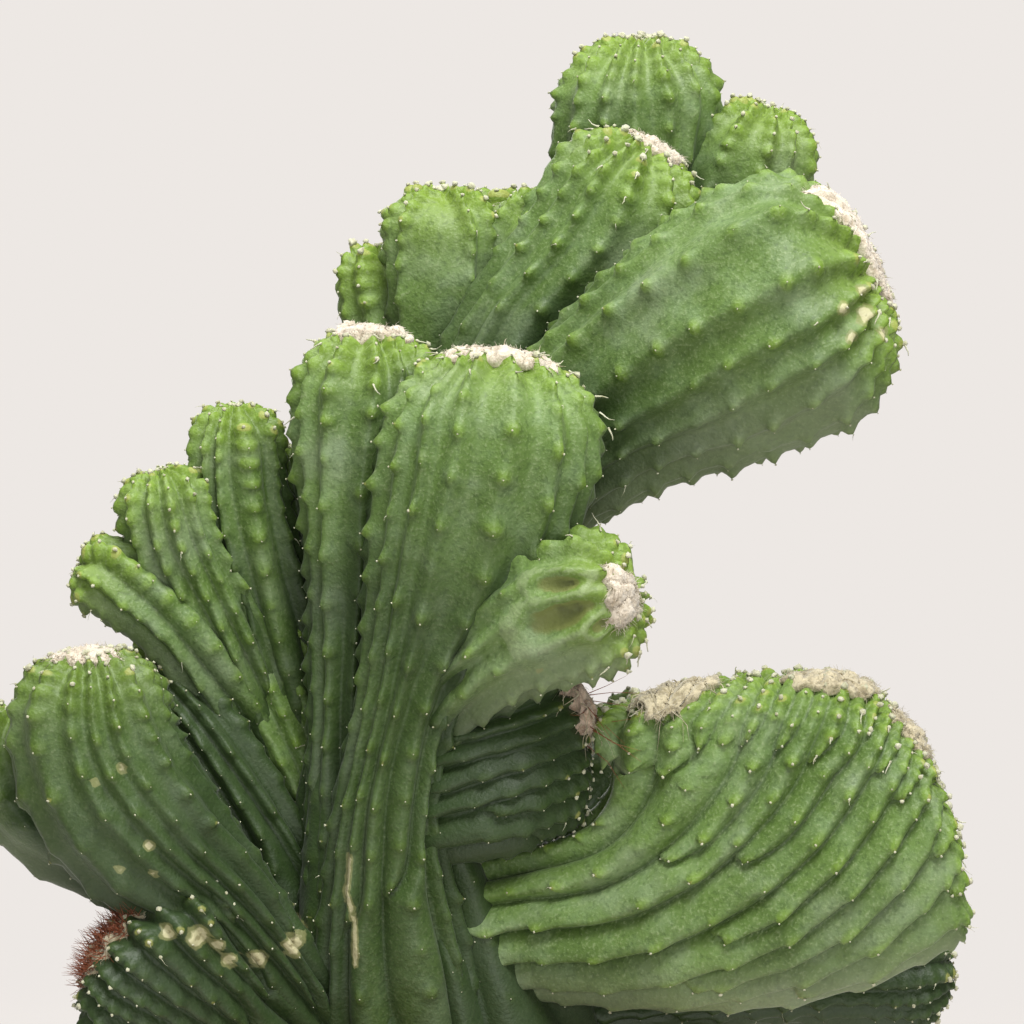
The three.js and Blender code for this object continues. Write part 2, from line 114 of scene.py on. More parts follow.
class Paint:
    """A material under construction."""

    def __init__(self, name):
        self.material = bpy.data.materials.new(name)
        self.material.use_nodes = True
        self.tree = self.material.node_tree
        self.shader = self.tree.nodes["Principled BSDF"]

    def node(self, kind, settings, *values, out=0, **named):
        """Adds a node, sets it, and fills its sockets by order or by name."""
        node = self.tree.nodes.new(kind)
        for key, value in settings.items():
            setattr(node, key, value)
        for key, value in list(enumerate(values)) + list(named.items()):
            self.fill(node.inputs[key], value)
        return Flow(self, node.outputs[out])

    def fill(self, socket, value):
        if isinstance(value, Flow):
            self.tree.links.new(value.socket, socket)
        else:
            socket.default_value = value

    def place(self):
        return self.node("ShaderNodeTexCoord", {}, out="Object")

    def attribute(self, name):
        return self.node("ShaderNodeAttribute", {"attribute_name": name}, out="Fac")

    def noise(self, size, detail=3.0, roughness=0.5):
        """Cloudy noise whose blotches are about size millimetres across."""
        return self.node(
            "ShaderNodeTexNoise", {}, Vector=self.place(), Scale=0.5 / (size * MM),
            Detail=detail, Roughness=roughness,
        )

    def mix(self, share, low, high):
        """The colour low where share is 0 and high where it is 1."""
        node = self.tree.nodes.new("ShaderNodeMix")
        node.data_type = "RGBA"
        for socket, value in zip((node.inputs[0], node.inputs[6], node.inputs[7]), (share, low, high)):
            self.fill(socket, value)
        return Flow(self, node.outputs[2])

    def bump(self, height, depth, strength=1.0):
        """A normal that makes height, from 0 to 1, look depth millimetres high."""
        return self.node(
            "ShaderNodeBump", {}, Height=height, Distance=depth * MM, Strength=strength
        )

    def finish(self, color, roughness, normal=None, **constants):
        self.fill(self.shader.inputs["Base Color"], color)
        self.fill(self.shader.inputs["Roughness"], roughness)
        if normal:
            self.fill(self.shader.inputs["Normal"], normal)
        for name, value in constants.items():
            self.shader.inputs[name.replace("_", " ")].default_value = value
        return self.material


def tone(code):
    """A colour from its usual six-digit code, as the linear light that shaders use."""
    shares = [int(code[i:i + 2], 16) / 255 for i in (0, 2, 4)]
    return [s / 12.92 if s < 0.04 else ((s + 0.055) / 1.055) ** 2.4 for s in shares] + [1.0]


# %% [markdown]
# ## Floor, world and lamps
# A product photograph hides the horizon. The floor is a pale disc whose Alpha fades out towards
# its rim, and the world that the camera sees behind it has nearly the same tone. A dimmer
# background lights the plant, and the Light Path node chooses between the two. A big soft lamp
# above the front models the ribs. One above the left side and one low in front open up the
# shadows, and one behind keeps the back of the plant readable.

# %% Floor, world and lamps
FLOOR_RADIUS = 0.55

rim = bmesh.new()
bmesh.ops.create_circle(rim, cap_ends=True, segments=96, radius=FLOOR_RADIUS)
floor_mesh = bpy.data.meshes.new("floor")
rim.to_mesh(floor_mesh)
rim.free()
floor = bpy.data.objects.new("floor", floor_mesh)
bpy.context.collection.objects.link(floor)

paint = Paint("studio_floor")
from_middle = paint.node("ShaderNodeVectorMath", {"operation": "LENGTH"}, paint.place(), out="Value")
paint.fill(paint.shader.inputs["Alpha"], 1 - from_middle.step(0.2, FLOOR_RADIUS * 0.98))
floor_mesh.materials.append(paint.finish(tone("d8d3ce"), 0.9))

world = bpy.data.worlds.new("studio")
world.use_nodes = True
sky_tree = world.node_tree
seen = sky_tree.nodes["Background"]
seen.inputs["Color"].default_value = tone("ede8e4")
fill = sky_tree.nodes.new("ShaderNodeBackground")
fill.inputs["Color"].default_value = tone("f4f0ea")
fill.inputs["Strength"].default_value = 0.32
choice = sky_tree.nodes.new("ShaderNodeMixShader")
rays = sky_tree.nodes.new("ShaderNodeLightPath")
sky_tree.links.new(rays.outputs["Is Camera Ray"], choice.inputs[0])
sky_tree.links.new(fill.outputs[0], choice.inputs[1])
sky_tree.links.new(seen.outputs[0], choice.inputs[2])
sky_tree.links.new(choice.outputs[0], sky_tree.nodes["World Output"].inputs["Surface"])
bpy.context.scene.world = world


def lamp(name, place, power, size):
    """A square soft box that faces the plant."""
    data = bpy.data.lights.new(name, "AREA")
    data.energy = power
    data.size = size
    lamp_object = bpy.data.objects.new(name, data)
    lamp_object.location = place
    lamp_object.rotation_euler = (TARGET - Vector(place)).to_track_quat("-Z", "Y").to_euler()
    bpy.context.collection.objects.link(lamp_object)


lamp("key_lamp", (0.25, -0.55, 1.4), 21, 0.6)
lamp("top_lamp", (-0.3, 0.1, 1.5), 9, 0.8)
lamp("front_lamp", (0.2, -1.5, 0.35), 8, 0.9)
lamp("back_lamp", (-0.3, 1.4, 0.6), 7, 0.9)
print("lamps:", ", ".join(data.name for data in bpy.data.lights))

# %% [markdown]
# ## The stems
# Every stem follows a spine of a few points from root to tip, and half gives half its width and
# half its thickness at each of them. A third number there narrows the side that across points to.
# Such a plant could be sculpted, but a table keeps it exact: these are the numbers of the solid
# model, so the fine stems lie just where the plain ones do. Only the ribs of the larger ones are
# more numerous, because a fine mesh can carry them. All lengths are in millimetres.
#
# - across is the way of the width, bare the length without ribs, and dome the tip's height.
# - ridge is how much of its width a flattened tip keeps, and arches how far its two ends drop.
# - shade darkens old stems, whose skin is darker, and paints shade on hidden ones. threads is
#   the share of warts that trail a thread.
# - coarse widens the cells of stems that are mostly out of sight.

# %% Stem table
STEMS = {
    "trunk": dict(
        spine=[(0, 0, 72), (0, 0, 100), (-2, -2, 129), (-6, -4, 158), (-11, -4, 188), (-13, -2, 212)],
        half=[(36, 30), (38, 31), (39, 31), (29, 27), (19, 22), (12, 14)],
        ribs=14, rib=3, wart=0.8, dome=12, bare=40, look="trunk", shade=0.9, coarse=1.25,
    ),
    "front_finger": dict(
        spine=[(-4, -14, 114), (-8, -21, 148), (-9, -27, 183), (-3, -29, 216), (7, -28, 245),
               (14, -26, 270), (17, -22, 292)],
        half=[(22, 17), (18, 15), (13, 11), (13, 12), (23, 18), (26, 21), (24, 20)],
        ribs=16, rib=1.7, wart=1.5, dome=19, threads=0.5, shade=0.05,
    ),
    "second_finger": dict(
        spine=[(-16, -10, 116), (-18, -14, 150), (-20, -14, 185), (-19, -12, 221), (-17, -10, 247),
               (-15, -6, 273), (-14, -4, 296)],
        half=[(16, 16), (13, 14), (9, 10), (9.5, 11), (12.5, 15), (17, 18), (17, 17)],
        ribs=14, rib=1.7, wart=1.4, dome=17, threads=0.25,
    ),
    "right_thumb": dict(
        spine=[(-7, -14, 174), (1, -24, 206), (15, -32, 225), (32, -38, 235), (48, -44, 240)],
        half=[(8, 8), (9.5, 10), (13.5, 13), (16, 15), (15, 14)],
        ribs=12, rib=2.2, wart=2.3, dome=11, across=(-0.4, 0, 1), threads=0.3, shade=-0.1,
    ),
    "big_right": dict(
        spine=[(-8, 4, 185), (2, 12, 222), (18, 14, 252), (42, 10, 275), (66, 4, 291),
               (86, -2, 302), (106, -6, 311)],
        half=[(10, 10), (14, 14), (16, 18), (22, 24), (29.5, 27), (32, 27), (29, 24)],
        ribs=18, rib=1.7, wart=1.6, dome=19, across=(-0.4, 0, 1), threads=0.2, shade=-0.35,
    ),
    "upper_mid": dict(
        spine=[(-1, 18, 218), (7, 28, 254), (22, 32, 287), (40, 34, 313), (54, 32, 339)],
        half=[(10, 10), (15, 14), (19, 17), (20, 18), (18, 17)],
        ribs=14, rib=1.6, wart=1.5, dome=16, threads=0.25, shade=-0.15,
    ),
    "upper_mid_left": dict(
        spine=[(2, 24, 242), (8, 42, 282), (20, 44, 305), (32, 46, 324)],
        half=[(9, 9), (13, 11), (13, 12), (12, 11)],
        ribs=8, rib=1.5, wart=1.4, dome=9,
    ),
    "top_dome": dict(
        spine=[(26, 42, 276), (44, 58, 314), (51, 62, 341), (52, 62, 365)],
        half=[(11, 11), (16, 15), (20, 19), (20, 19)],
        ribs=14, rib=1.4, wart=1.4, dome=18,
    ),
    "top_right": dict(
        spine=[(38, 48, 290), (64, 58, 311), (79, 60, 330), (85, 60, 348)],
        half=[(9, 9), (14, 13), (16, 15), (14, 14)],
        ribs=10, rib=1.2, wart=1.3, dome=13,
    ),
    "left_dome": dict(
        spine=[(-1, 28, 240), (3, 40, 278), (2, 42, 305), (2, 42, 328)],
        half=[(9, 9), (12.5, 12), (14, 14), (13.5, 13)],
        ribs=8, rib=1.5, wart=1.3, dome=12,
    ),
    "left_dome_small": dict(
        spine=[(-1, 32, 240), (-8, 46, 277), (-14, 50, 297), (-15, 52, 313)],
        half=[(7, 7), (8.5, 9), (9.5, 10), (9, 9)],
        ribs=8, rib=1.3, wart=1.1, dome=8,
    ),
    "back_knob": dict(
        spine=[(8, 46, 270), (15, 70, 308), (16, 73, 326)],
        half=[(7, 7), (9, 9), (8, 8)],
        ribs=6, rib=1.2, wart=1.1, dome=7,
    ),
    "fan": dict(
        spine=[(-14, -4, 116), (-20, 2, 146), (-32, 6, 178), (-46, 8, 204), (-58, 8, 229)],
        half=[(18, 16), (17, 13), (20, 12), (27, 11), (29, 9)],
        ribs=24, rib=2.4, wart=1.2, dome=9, across=(0.8, 0, 0.55), ridge=0.85, arches=(8, 8),
        look="fan", shade=-0.3,
    ),
    "fan_finger_tall": dict(
        spine=[(-26, 9, 180), (-38, 7, 224), (-46, 6, 254), (-47, 6, 278)],
        half=[(7, 7), (11, 10), (11, 11), (10, 10)],
        ribs=12, rib=1.7, wart=1.4, dome=10, look="fan",
    ),
    "fan_finger_thin": dict(
        spine=[(-22, 12, 194), (-30, 11, 238), (-34, 12, 267)],
        half=[(6, 6), (7, 7), (6, 6)],
        ribs=8, rib=1.6, wart=1.2, dome=6, look="fan",
    ),
    "fan_finger_mid": dict(
        spine=[(-30, 9, 172), (-50, 3, 222), (-61, 0, 247), (-65, 0, 263)],
        half=[(7, 7), (11, 10), (11.5, 11), (10.5, 10)],
        ribs=12, rib=1.8, wart=1.4, dome=9, look="fan",
    ),
    "fan_finger_low": dict(
        spine=[(-34, 8, 180), (-57, -1, 219), (-73, -3, 234), (-85, -3, 240)],
        half=[(7, 7), (9, 9), (9, 9), (8.5, 8)],
        ribs=10, rib=1.8, wart=1.2, dome=7, look="fan",
    ),
    "fan_lower": dict(
        spine=[(-22, -2, 138), (-41, -4, 170), (-57, -3, 193), (-73, 1, 213)],
        half=[(10, 10), (13, 11), (14, 10), (13, 8)],
        ribs=12, rib=2.2, wart=1.6, dome=7, across=(0.8, 0, 0.6), ridge=0.5, arches=(2, 2),
        look="fan", shade=0.7,
    ),
    "left_finger": dict(
        spine=[(-24, -18, 126), (-36, -27, 147), (-50, -33, 166), (-65, -36, 181), (-76, -37, 200),
               (-79, -36, 225)],
        half=[(9, 9), (9.5, 10), (13, 13), (18, 17), (18.5, 17), (16, 15)],
        ribs=16, rib=1.3, wart=1.2, dome=14, across=(0.5, 0, 0.86), shade=0.45,
    ),
    "left_finger_back": dict(
        spine=[(-46, -12, 166), (-71, -16, 173), (-90, -18, 182), (-100, -17, 195), (-99, -16, 208)],
        half=[(9, 9), (12, 12), (12, 12), (11, 11), (10, 10)],
        ribs=8, rib=1.4, wart=1.3, dome=9, across=(0.5, 0, 0.86), shade=0.4,
    ),
    "basal_crest_left": dict(
        spine=[(-20, -16, 116), (-41, -30, 131), (-59, -40, 146), (-75, -44, 158)],
        half=[(9, 9), (13, 9), (19, 10), (29, 10)],
        ribs=20, rib=2.4, wart=1.6, dome=8, across=(0.6, 0, 0.8), ridge=0.88, arches=(15, 15),
        look="fold", shade=0.95,
    ),
    "right_crest": dict(
        spine=[(-2, -6, 150), (27, -14, 159), (55, -22, 168), (83, -26, 187), (103, -24, 214)],
        half=[(14, 15), (22, 16, 0.7), (30, 17, 0.6), (42, 17, 0.8), (51, 14)],
        ribs=56, rib=2.8, wart=1.6, dome=13, across=(-0.78, 0, 0.63), ridge=0.9, arches=(46, 35),
        arch_powers=(1.5, 2.3), wave=8, waves=0.5, look="crest", threads=0.12, shade=-0.35,
    ),
    "inner_fold": dict(
        spine=[(-9, -14, 178), (4, -25, 189), (20, -26, 196), (35, -16, 200)],
        half=[(10, 8), (16, 10), (19, 10), (20, 9)],
        ribs=20, rib=2.4, wart=1.6, dome=8, across=(0, 0, 1), ridge=0.85, arches=(4, 4),
        look="fold", shade=0.9,
    ),
    "lower_crest": dict(
        spine=[(4, 4, 129), (45, 8, 131), (88, 11, 134), (129, 10, 136)],
        half=[(8, 10), (9, 12), (11, 12), (17, 10)],
        ribs=20, rib=2.2, wart=1.6, dome=10, across=(0, 0, 1), ridge=0.8, arches=(9, 9),
        look="fold", shade=0.95,
    ),
    "back_finger_tall": dict(
        spine=[(-2, 12, 150), (-6, 36, 190), (-4, 54, 226), (-4, 58, 252)],
        half=[(10, 10), (14, 13), (17, 16), (16, 15)],
        ribs=10, rib=1.4, wart=1.6, dome=14, shade=0.2, coarse=1.35,
    ),
    "back_finger_low": dict(
        spine=[(-8, 10, 134), (-28, 40, 160), (-40, 56, 186), (-42, 60, 206)],
        half=[(9, 9), (13, 12), (15, 14), (14, 13)],
        ribs=10, rib=1.4, wart=1.6, dome=12, shade=0.4, coarse=1.35,
    ),
    "back_finger_right": dict(
        spine=[(6, 10, 136), (30, 38, 150), (50, 56, 172), (58, 62, 194)],
        half=[(9, 9), (13, 13), (16, 15), (15, 14)],
        ribs=10, rib=1.4, wart=1.6, dome=13, shade=0.4, coarse=1.35,
    ),
}
print(len(STEMS), "stems from root to tip")

# %% [markdown]
# ## Kinds of skin
# The same plant wears five kinds of skin. Fingers are smooth with round warts, the fan and the
# crests have narrow cords that overlap like tiles, and the trunk is worn. One table of numbers
# for each kind is easier to compare and to correct than five pieces of code.
#
# - deep gives the depth of the ribs at the root, on the body and at the crown, as shares. soft
#   rounds off the groove, lean moves a rib's back to its lower side, and back makes it rounder.
# - born says between which shares of the length every rib of a short cycle begins.
# - near and far are the spaces between warts at the tip and well below it. A wart is wide at its
#   foot, reaches up and down over the given lengths, is high, and hook pulls its point down, as
#   lap does with the whole rib.
# - groove_shade paints shade into the grooves, and age_and_shade darkens the skin far below the
#   tip, which is older there and also gets painted shade. fresh is how far from its tip a stem of
#   this kind seems to begin, so that old crests aren't as yellow as young fingers.
# - cell is the size of the mesh's cells, round the stem and along it, and tuft the radius of a
#   wart's tuft on the body and what is added to it at the tip.

# %% Looks and defaults
LOOKS = {
    "finger": dict(
        deep=(2.4, 1.3, 1.9), soft=2.2, lean=0.3, born=((0, 0), (0.1, 0.3)),
        near=3.6, far=11.0, wide=2.6, up=3.3, down=2.4, high=1.5, hook=0.5, lap=0.1, groove_shade=0.3,
        cell=(1.0, 1.15), back=1.25, age_and_shade=0.6, fresh=0, tuft=(0.26, 0.45),
    ),
    "fan": dict(
        deep=(1.7, 1.45, 1.3), soft=0.6, lean=0.6, born=((0, 0), (0.05, 0.4)),
        near=3.6, far=8.5, wide=2.1, up=3.4, down=2.0, high=1.1, hook=0.9, lap=0.4, groove_shade=0.7,
        cell=(0.85, 1.2), back=1.6, age_and_shade=0.3, fresh=5, tuft=(0.26, 0.25),
    ),
    "crest": dict(
        deep=(1.5, 1.5, 1.2), soft=0.2, lean=0.9, born=((0, 0), (0.8, 0.95), (0.4, 0.75), (0.78, 0.94)),
        near=3.2, far=13.0, wide=2.3, up=5.0, down=2.0, high=0.9, hook=1.5, lap=0.8, groove_shade=0.85,
        cell=(0.7, 1.2), back=2.0, age_and_shade=0.0, fresh=10, tuft=(0.36, 0.45),
    ),
    "fold": dict(
        deep=(1.5, 1.5, 1.3), soft=0.3, lean=0.7, born=((0, 0), (0.2, 0.6)),
        near=3.2, far=9.0, wide=2.0, up=3.6, down=1.9, high=0.9, hook=1.0, lap=0.5, groove_shade=0.9,
        cell=(0.7, 1.2), back=2.0, age_and_shade=0.2, fresh=22, tuft=(0.16, 0.45),
    ),
    "trunk": dict(
        deep=(1.4, 1.4, 1.2), soft=0.6, lean=0.3, born=((0, 0),),
        near=8.0, far=13.0, wide=2.6, up=4.0, down=2.2, high=1.0, hook=0.7, lap=0.2, groove_shade=0.8,
        cell=(1.1, 1.4), back=1.5, age_and_shade=0.3, fresh=20, tuft=(0.26, 0.45),
    ),
}
# A rib that begins on the way up takes this length to reach its full width.
BUD = 13
DEFAULTS = dict(
    across=(1, 0, 0), bare=0, ridge=0, arches=(0, 0), arch_powers=(2, 2), wave=0, waves=1, look="finger",
    shade=0, coarse=1, threads=0,
)
for number, (name, stem) in enumerate(STEMS.items()):
    STEMS[name] = {**DEFAULTS, **stem, "seed": 1.7 * number, "number": number}
print("looks:", ", ".join(LOOKS))

# %% [markdown]
# ## A stem's smooth skin
# The skin is a sheet rolled up round the spine. A curve with a bevel would give a tube too, but
# not the domes, ridges and drooping ends of this plant. The rows of the sheet are closer near the
# tip, where the relief is finest, and round each row the points are spaced evenly along a boxy
# ellipse. The ellipse swells a little in places, as nothing that grows is quite regular, and the
# heel is the length over which a stem widens at its hidden root.

# %% Smooth skin
SQUARENESS = 2.3
SWELL = 0.03
HEEL = 4
RIB_RISE = 10


def curve_points(points, t):
    """Points on a smooth curve through the given ones, at parameters from 0 to 1."""
    points = np.array(points, float)
    count = len(points) - 1
    ends = np.vstack([2 * points[0] - points[1], points, 2 * points[-1] - points[-2]])
    place = np.clip(t, 0, 1) * count
    k = np.minimum(place.astype(int), count - 1)
    w = (place - k)[:, None]
    a, b, c, d = ends[k], ends[k + 1], ends[k + 2], ends[k + 3]
    return 0.5 * (
        2 * b + (c - a) * w + (2 * a - 5 * b + 4 * c - d) * w**2 + (3 * b - a - 3 * c + d) * w**3
    )


def ramp(value, low, high):
    """0 below low, 1 above high, and smooth in between."""
    share = np.clip((value - low) / (high - low), 0, 1)
    return share * share * (3 - 2 * share)


def unit(vectors):
    return vectors / np.maximum(np.linalg.norm(vectors, axis=-1, keepdims=True), 1e-12)


def ring_points(a, b, kept, columns):
    """Evenly spaced points round a boxy ellipse, with its circumference.

    Its side towards +a keeps only the share kept of its width.
    """
    angle = np.linspace(0, 2 * math.pi, 8 * columns + 1)
    c, s = np.cos(angle), np.sin(angle)
    x = np.where(c > 0, kept * a, -a) * np.abs(c) ** (2 / SQUARENESS)
    y = b * np.sign(s) * np.abs(s) ** (2 / SQUARENESS)
    lengths = np.concatenate([[0], np.cumsum(np.hypot(np.diff(x), np.diff(y)))])
    wanted = lengths[-1] * np.arange(columns) / columns
    return np.interp(wanted, lengths, x), np.interp(wanted, lengths, y), lengths[-1]


def stem_length(stem):
    """The lengths of a stem's spine and of the arc over its domed end."""
    fine = np.linspace(0, 1, 61)
    steps = np.diff(curve_points(stem["spine"], fine), axis=0)
    lengths = np.concatenate([[0], np.cumsum(np.linalg.norm(steps, axis=1))])
    arc = math.pi / 2 * math.sqrt((stem["dome"] ** 2 + stem["half"][-1][1] ** 2) / 2)
    return fine, lengths, arc


def row_lengths(total, cell):
    """Skin lengths of rows about cell apart, half as much near the tip and more at the root."""
    fine = np.linspace(0, total, 600)
    space = cell * (0.5 + 0.5 * ramp(total - fine, 5, 22)) * (2 - ramp(fine, 12, 40))
    number = np.concatenate([[0], np.cumsum(np.diff(fine) / space[1:])])
    rows = math.ceil(number[-1])
    return np.interp(np.linspace(0, number[-1], rows + 1), number, fine)


def smooth_skin(stem, columns, cell):
    """A stem's skin without ribs: points, growth directions, circumferences and skin lengths."""
    fine, lengths, arc = stem_length(stem)
    shaft = lengths[-1] - stem["dome"]
    grown = row_lengths(shaft + arc, cell) / (shaft + arc)
    rows = len(grown) - 1
    share = 1 - (1 - grown) ** (1 / 1.5)
    skin_length = grown * (shaft + arc)
    turn = np.maximum(0, skin_length - shaft) / arc * math.pi / 2
    along = np.where(turn > 0, shaft + stem["dome"] * np.sin(turn), skin_length)
    t = np.interp(along, lengths, fine)
    centre = curve_points(stem["spine"], t)
    tangent = unit(curve_points(stem["spine"], t + 1e-3) - curve_points(stem["spine"], t - 1e-3))
    across = np.array(stem["across"], float)
    across = unit(across - (tangent @ across)[:, None] * tangent)
    front = np.cross(across, tangent)
    size = curve_points([(*half, 1)[:3] for half in stem["half"]], t)
    narrowing = np.cos(turn)
    rooted = np.sqrt(np.minimum(1, skin_length / HEEL))
    a = size[:, 0] * (stem["ridge"] + (1 - stem["ridge"]) * narrowing) * rooted
    b = size[:, 1] * narrowing * rooted
    points = np.empty((rows + 1, columns, 3))
    ring = np.empty(rows + 1)
    column = np.arange(columns)
    for j in range(rows + 1):
        kept = size[j, 2]
        x, y, around = ring_points(max(a[j], 1e-6), max(b[j], 1e-6), kept, columns)
        turn_here = 4 * math.pi * column / columns + 5 * share[j] + stem["seed"]
        swell = 1 + SWELL * np.sin(turn_here) * narrowing[j]
        if j == 0 or j == rows:
            x = x[np.minimum(column, columns - column)] * (1 if j and stem["ridge"] else 0)
            y = 0 * y
            swell = 1
        side = x / np.where(x > 0, kept * a[j], a[j]) if a[j] > 1e-3 else 0 * x
        power = np.where(side > 0, *stem["arch_powers"])
        arch = np.where(side > 0, *stem["arches"])
        fall = arch * np.abs(side) ** power * grown[j] ** 2
        sway = stem["wave"] * grown[j] * np.sin(math.pi * side * stem["waves"])
        points[j] = (
            centre[j]
            + np.outer(x * swell, across[j])
            + np.outer(y * swell + sway, front[j])
            - np.outer(fall, tangent[j])
        )
        ring[j] = around * (0.5 if j == rows else 1)
    return points, tangent, ring, skin_length


print("trunk:", round(float(stem_length(STEMS["trunk"])[1][-1])), "mm long")

# %% [markdown]
# ## Where the ribs run
# A cereus gains ribs as it widens, so some ribs begin only on the way up. A rib count that is the
# same all along would look machined. Here the ribs form short bundles, and in each bundle a new
# rib opens like a wedge between its neighbours. The smooth lumps are used all over the plant to
# keep shapes from being too even.

# %% Lumps and rib layout
def lumps(points, size, seed):
    """Smooth bumps from -1 to 1, about size millimetres across, at each point."""
    random = np.random.default_rng(seed)
    total = 0
    for _ in range(5):
        way = random.normal(size=(2, 3))
        phase = random.uniform(0, 6.28, 2)
        total = total + np.sin(points @ way[0] * 2.2 / size + phase[0]) * np.sin(
            points @ way[1] * 2.2 / size + phase[1]
        )
    return total / 2.5


def rib_layout(stem, around, length, ring):
    """The rib that each point is on, its offset across it from -1 to 1, and half the rib's width.

    A rib that begins on the way up is squeezed to nothing at its lower end, and the others of its
    bundle close up there. The last value is the length at which each point's rib begins.
    """
    random = np.random.default_rng(300 + stem["number"])
    ribs = stem["ribs"]
    cycle = LOOKS[stem["look"]]["born"]
    low, high = np.array([cycle[rib % len(cycle)] for rib in range(ribs)]).T
    start = random.uniform(low, high + 1e-9) * length[-1]
    start = np.where(high > 0, start, -BUD)
    width = np.sqrt(ramp(length[:, None], start, start + BUD)) + 1e-6
    bundles = width.reshape(len(length), -1, len(cycle))
    bundles = bundles / bundles.sum(axis=2, keepdims=True) * len(cycle) / ribs
    edges = np.cumsum(bundles.reshape(width.shape), axis=1)
    spots = around % 1
    rib = np.array([np.searchsorted(row, spot, side="right") for row, spot in zip(edges, spots)])
    rib = np.minimum(rib, ribs - 1)
    share = np.take_along_axis(np.diff(edges, axis=1, prepend=0), rib, axis=1)
    offset = 1 - 2 * (np.take_along_axis(edges, rib, axis=1) - spots) / share
    return rib, offset, share * ring[:, None] / 2, start[rib]


print("a new rib takes", BUD, "mm to reach its full width")

# %% [markdown]
# ## Ribs and warts
# Ribs are cords with a rounded back, and the grooves between them are narrow and sharp on the
# crests but soft on the fingers. Warts sit in a loose stagger on the ribs and crowd towards the
# growing tip, where new ones form. A texture could displace the skin, but it would know nothing
# of ribs, so the height is worked out at each point from its rib and its distance to the tip.

# %% Relief
def relief(stem, points, ring, skin_length, side_down):
    """Heights over the smooth skin, with what the material needs to know about them.

    side_down says how far the way round the stem, towards higher columns, points downwards.
    """
    look = LOOKS[stem["look"]]
    random = np.random.default_rng(100 + stem["number"])
    ribs = stem["ribs"]
    rows, columns = points.shape[:2]
    column = np.arange(columns)
    around = np.tile(column / columns, (rows, 1))
    around[-1] = np.minimum(column, columns - column) / columns
    length = skin_length[:, None]
    from_tip = skin_length[-1] - length

    wander = np.sin(length / 19 + stem["seed"]) + 0.5 * np.sin(length / 8.3 + 25 * around)
    wander = wander * ramp(from_tip, 2, 25) * 0.12
    for turns, phase in enumerate(random.uniform(0, 6.28, 4), 1):
        wander = wander + 0.16 * np.sin(2 * math.pi * turns * around + phase)
    rib, offset, half, start = rib_layout(stem, around + wander / ribs, skin_length, ring)
    half = np.maximum(half, 0.03)

    rooted = 1 - ramp(length / skin_length[-1], 0.36, 0.66)
    crown = np.exp(-from_tip / 8)
    root_depth, body_depth, crown_depth = look["deep"]
    deep = rooted * root_depth + (1 - rooted) * body_depth
    deep = crown * crown_depth + (1 - crown) * deep
    soft = look["soft"] * (1 - 0.9 * rooted) * (1 - 0.8 * crown)
    back = 0.55 * look["lean"] * side_down
    beyond = offset > back
    flank = np.where(beyond, 1 - back, 1 + back) * half
    to_groove = np.where(beyond, 1 - offset, 1 + offset) * half
    near_groove = np.sqrt(to_groove**2 + soft**2) - soft
    full = np.sqrt(flank**2 + soft**2) - soft
    rounded = look["back"] + (2.1 - look["back"]) * rooted
    profile = 1 - (1 - np.clip(near_groove / np.maximum(full, 0.05), 0, 1)) ** rounded
    cord = np.minimum(stem["rib"] * deep, (0.8 + 0.45 * rooted) * half)
    fade = np.clip((length - stem["bare"]) / RIB_RISE, 0, 1)
    height = fade * cord * (profile - 0.62)

    table_tip = np.linspace(0, skin_length[-1] + 1, 400)
    spacing = look["near"] + (look["far"] - look["near"]) * ramp(table_tip, 9, 45)
    warts_up_to = np.concatenate([[0], np.cumsum(np.diff(table_tip) / spacing[1:])])
    shift = random.uniform(-0.22, 0.22, ribs)
    line = np.interp(from_tip, table_tip, warts_up_to) + (rib % 2) / 2 + shift[rib]
    local = np.interp(from_tip, table_tip, spacing)
    wart = np.round(line).astype(int)
    sizes = random.uniform(0.6, 1.2, (ribs, wart.max() + 2))
    sizes[random.random(sizes.shape) < 0.08] = 0.25
    down_by = (line - wart) * local
    across_by = (offset - back) * half
    knobby = 1 - ramp(from_tip, 8, 26)
    width = np.minimum(look["wide"] * (1 - 0.15 * knobby), half)
    tall = np.minimum(np.where(down_by < 0, look["up"], look["down"]), 0.49 * local)
    far = np.hypot(across_by / width, down_by / tall)
    end_by = length - start - 3
    end_tall = np.where(end_by > 0, look["up"], 2.5)
    end_far = np.where(start > 0, np.hypot(across_by / width, end_by / end_tall), 9)
    at_end = end_far < far
    size = np.where(at_end, 1.1, sizes[rib, wart])
    far = np.minimum(far, end_far)
    cone = np.clip(1 - far, 0, 1)
    knob = np.sqrt(np.clip(1 - far**2, 0, 1))
    peak = knobby * knob + (1 - knobby) * cone**1.3
    wart_height = np.minimum(stem["wart"] * look["high"], 0.9 * width) * size * (1 - 0.45 * rooted)
    edge = ramp(from_tip, 0.5, 3) if not stem["ridge"] else 1
    height = height + fade * wart_height * peak * edge
    height = height + 0.35 * lumps(points, 16, stem["number"]) * ramp(from_tip, 0, 6)
    height = height + 0.10 * lumps(points, 4.5, stem["number"] + 50) * ramp(from_tip, 0, 6)
    height = height - 0.9 * crown
    steady = ramp(from_tip, 4, 16)
    hook = look["hook"] * cone**0.9 * size * edge * np.minimum(1, local / 7)
    hook = fade * (hook + look["lap"] * profile * steady * np.minimum(1, half / 3))
    # Painted shade: the grooves are darkened, more so towards the root.
    groove_shade = look["groove_shade"] + (0.9 - look["groove_shade"]) * rooted
    facts = {
        "ridge": 1 - (1 - profile) * groove_shade,
        "wart": peak * size * fade,
        "tip": from_tip + 0 * height,
        "wart_number": rib * 1000 + np.where(at_end, 900, wart),
    }
    return height, hook, facts


# %% [markdown]
# ## Mesh helpers
# Every new mesh is made by an operator and then has its points moved. Points go in and out as one
# array, which is much quicker than a loop over vertices, and a weld closes the seam where a
# rolled-up sheet meets itself.

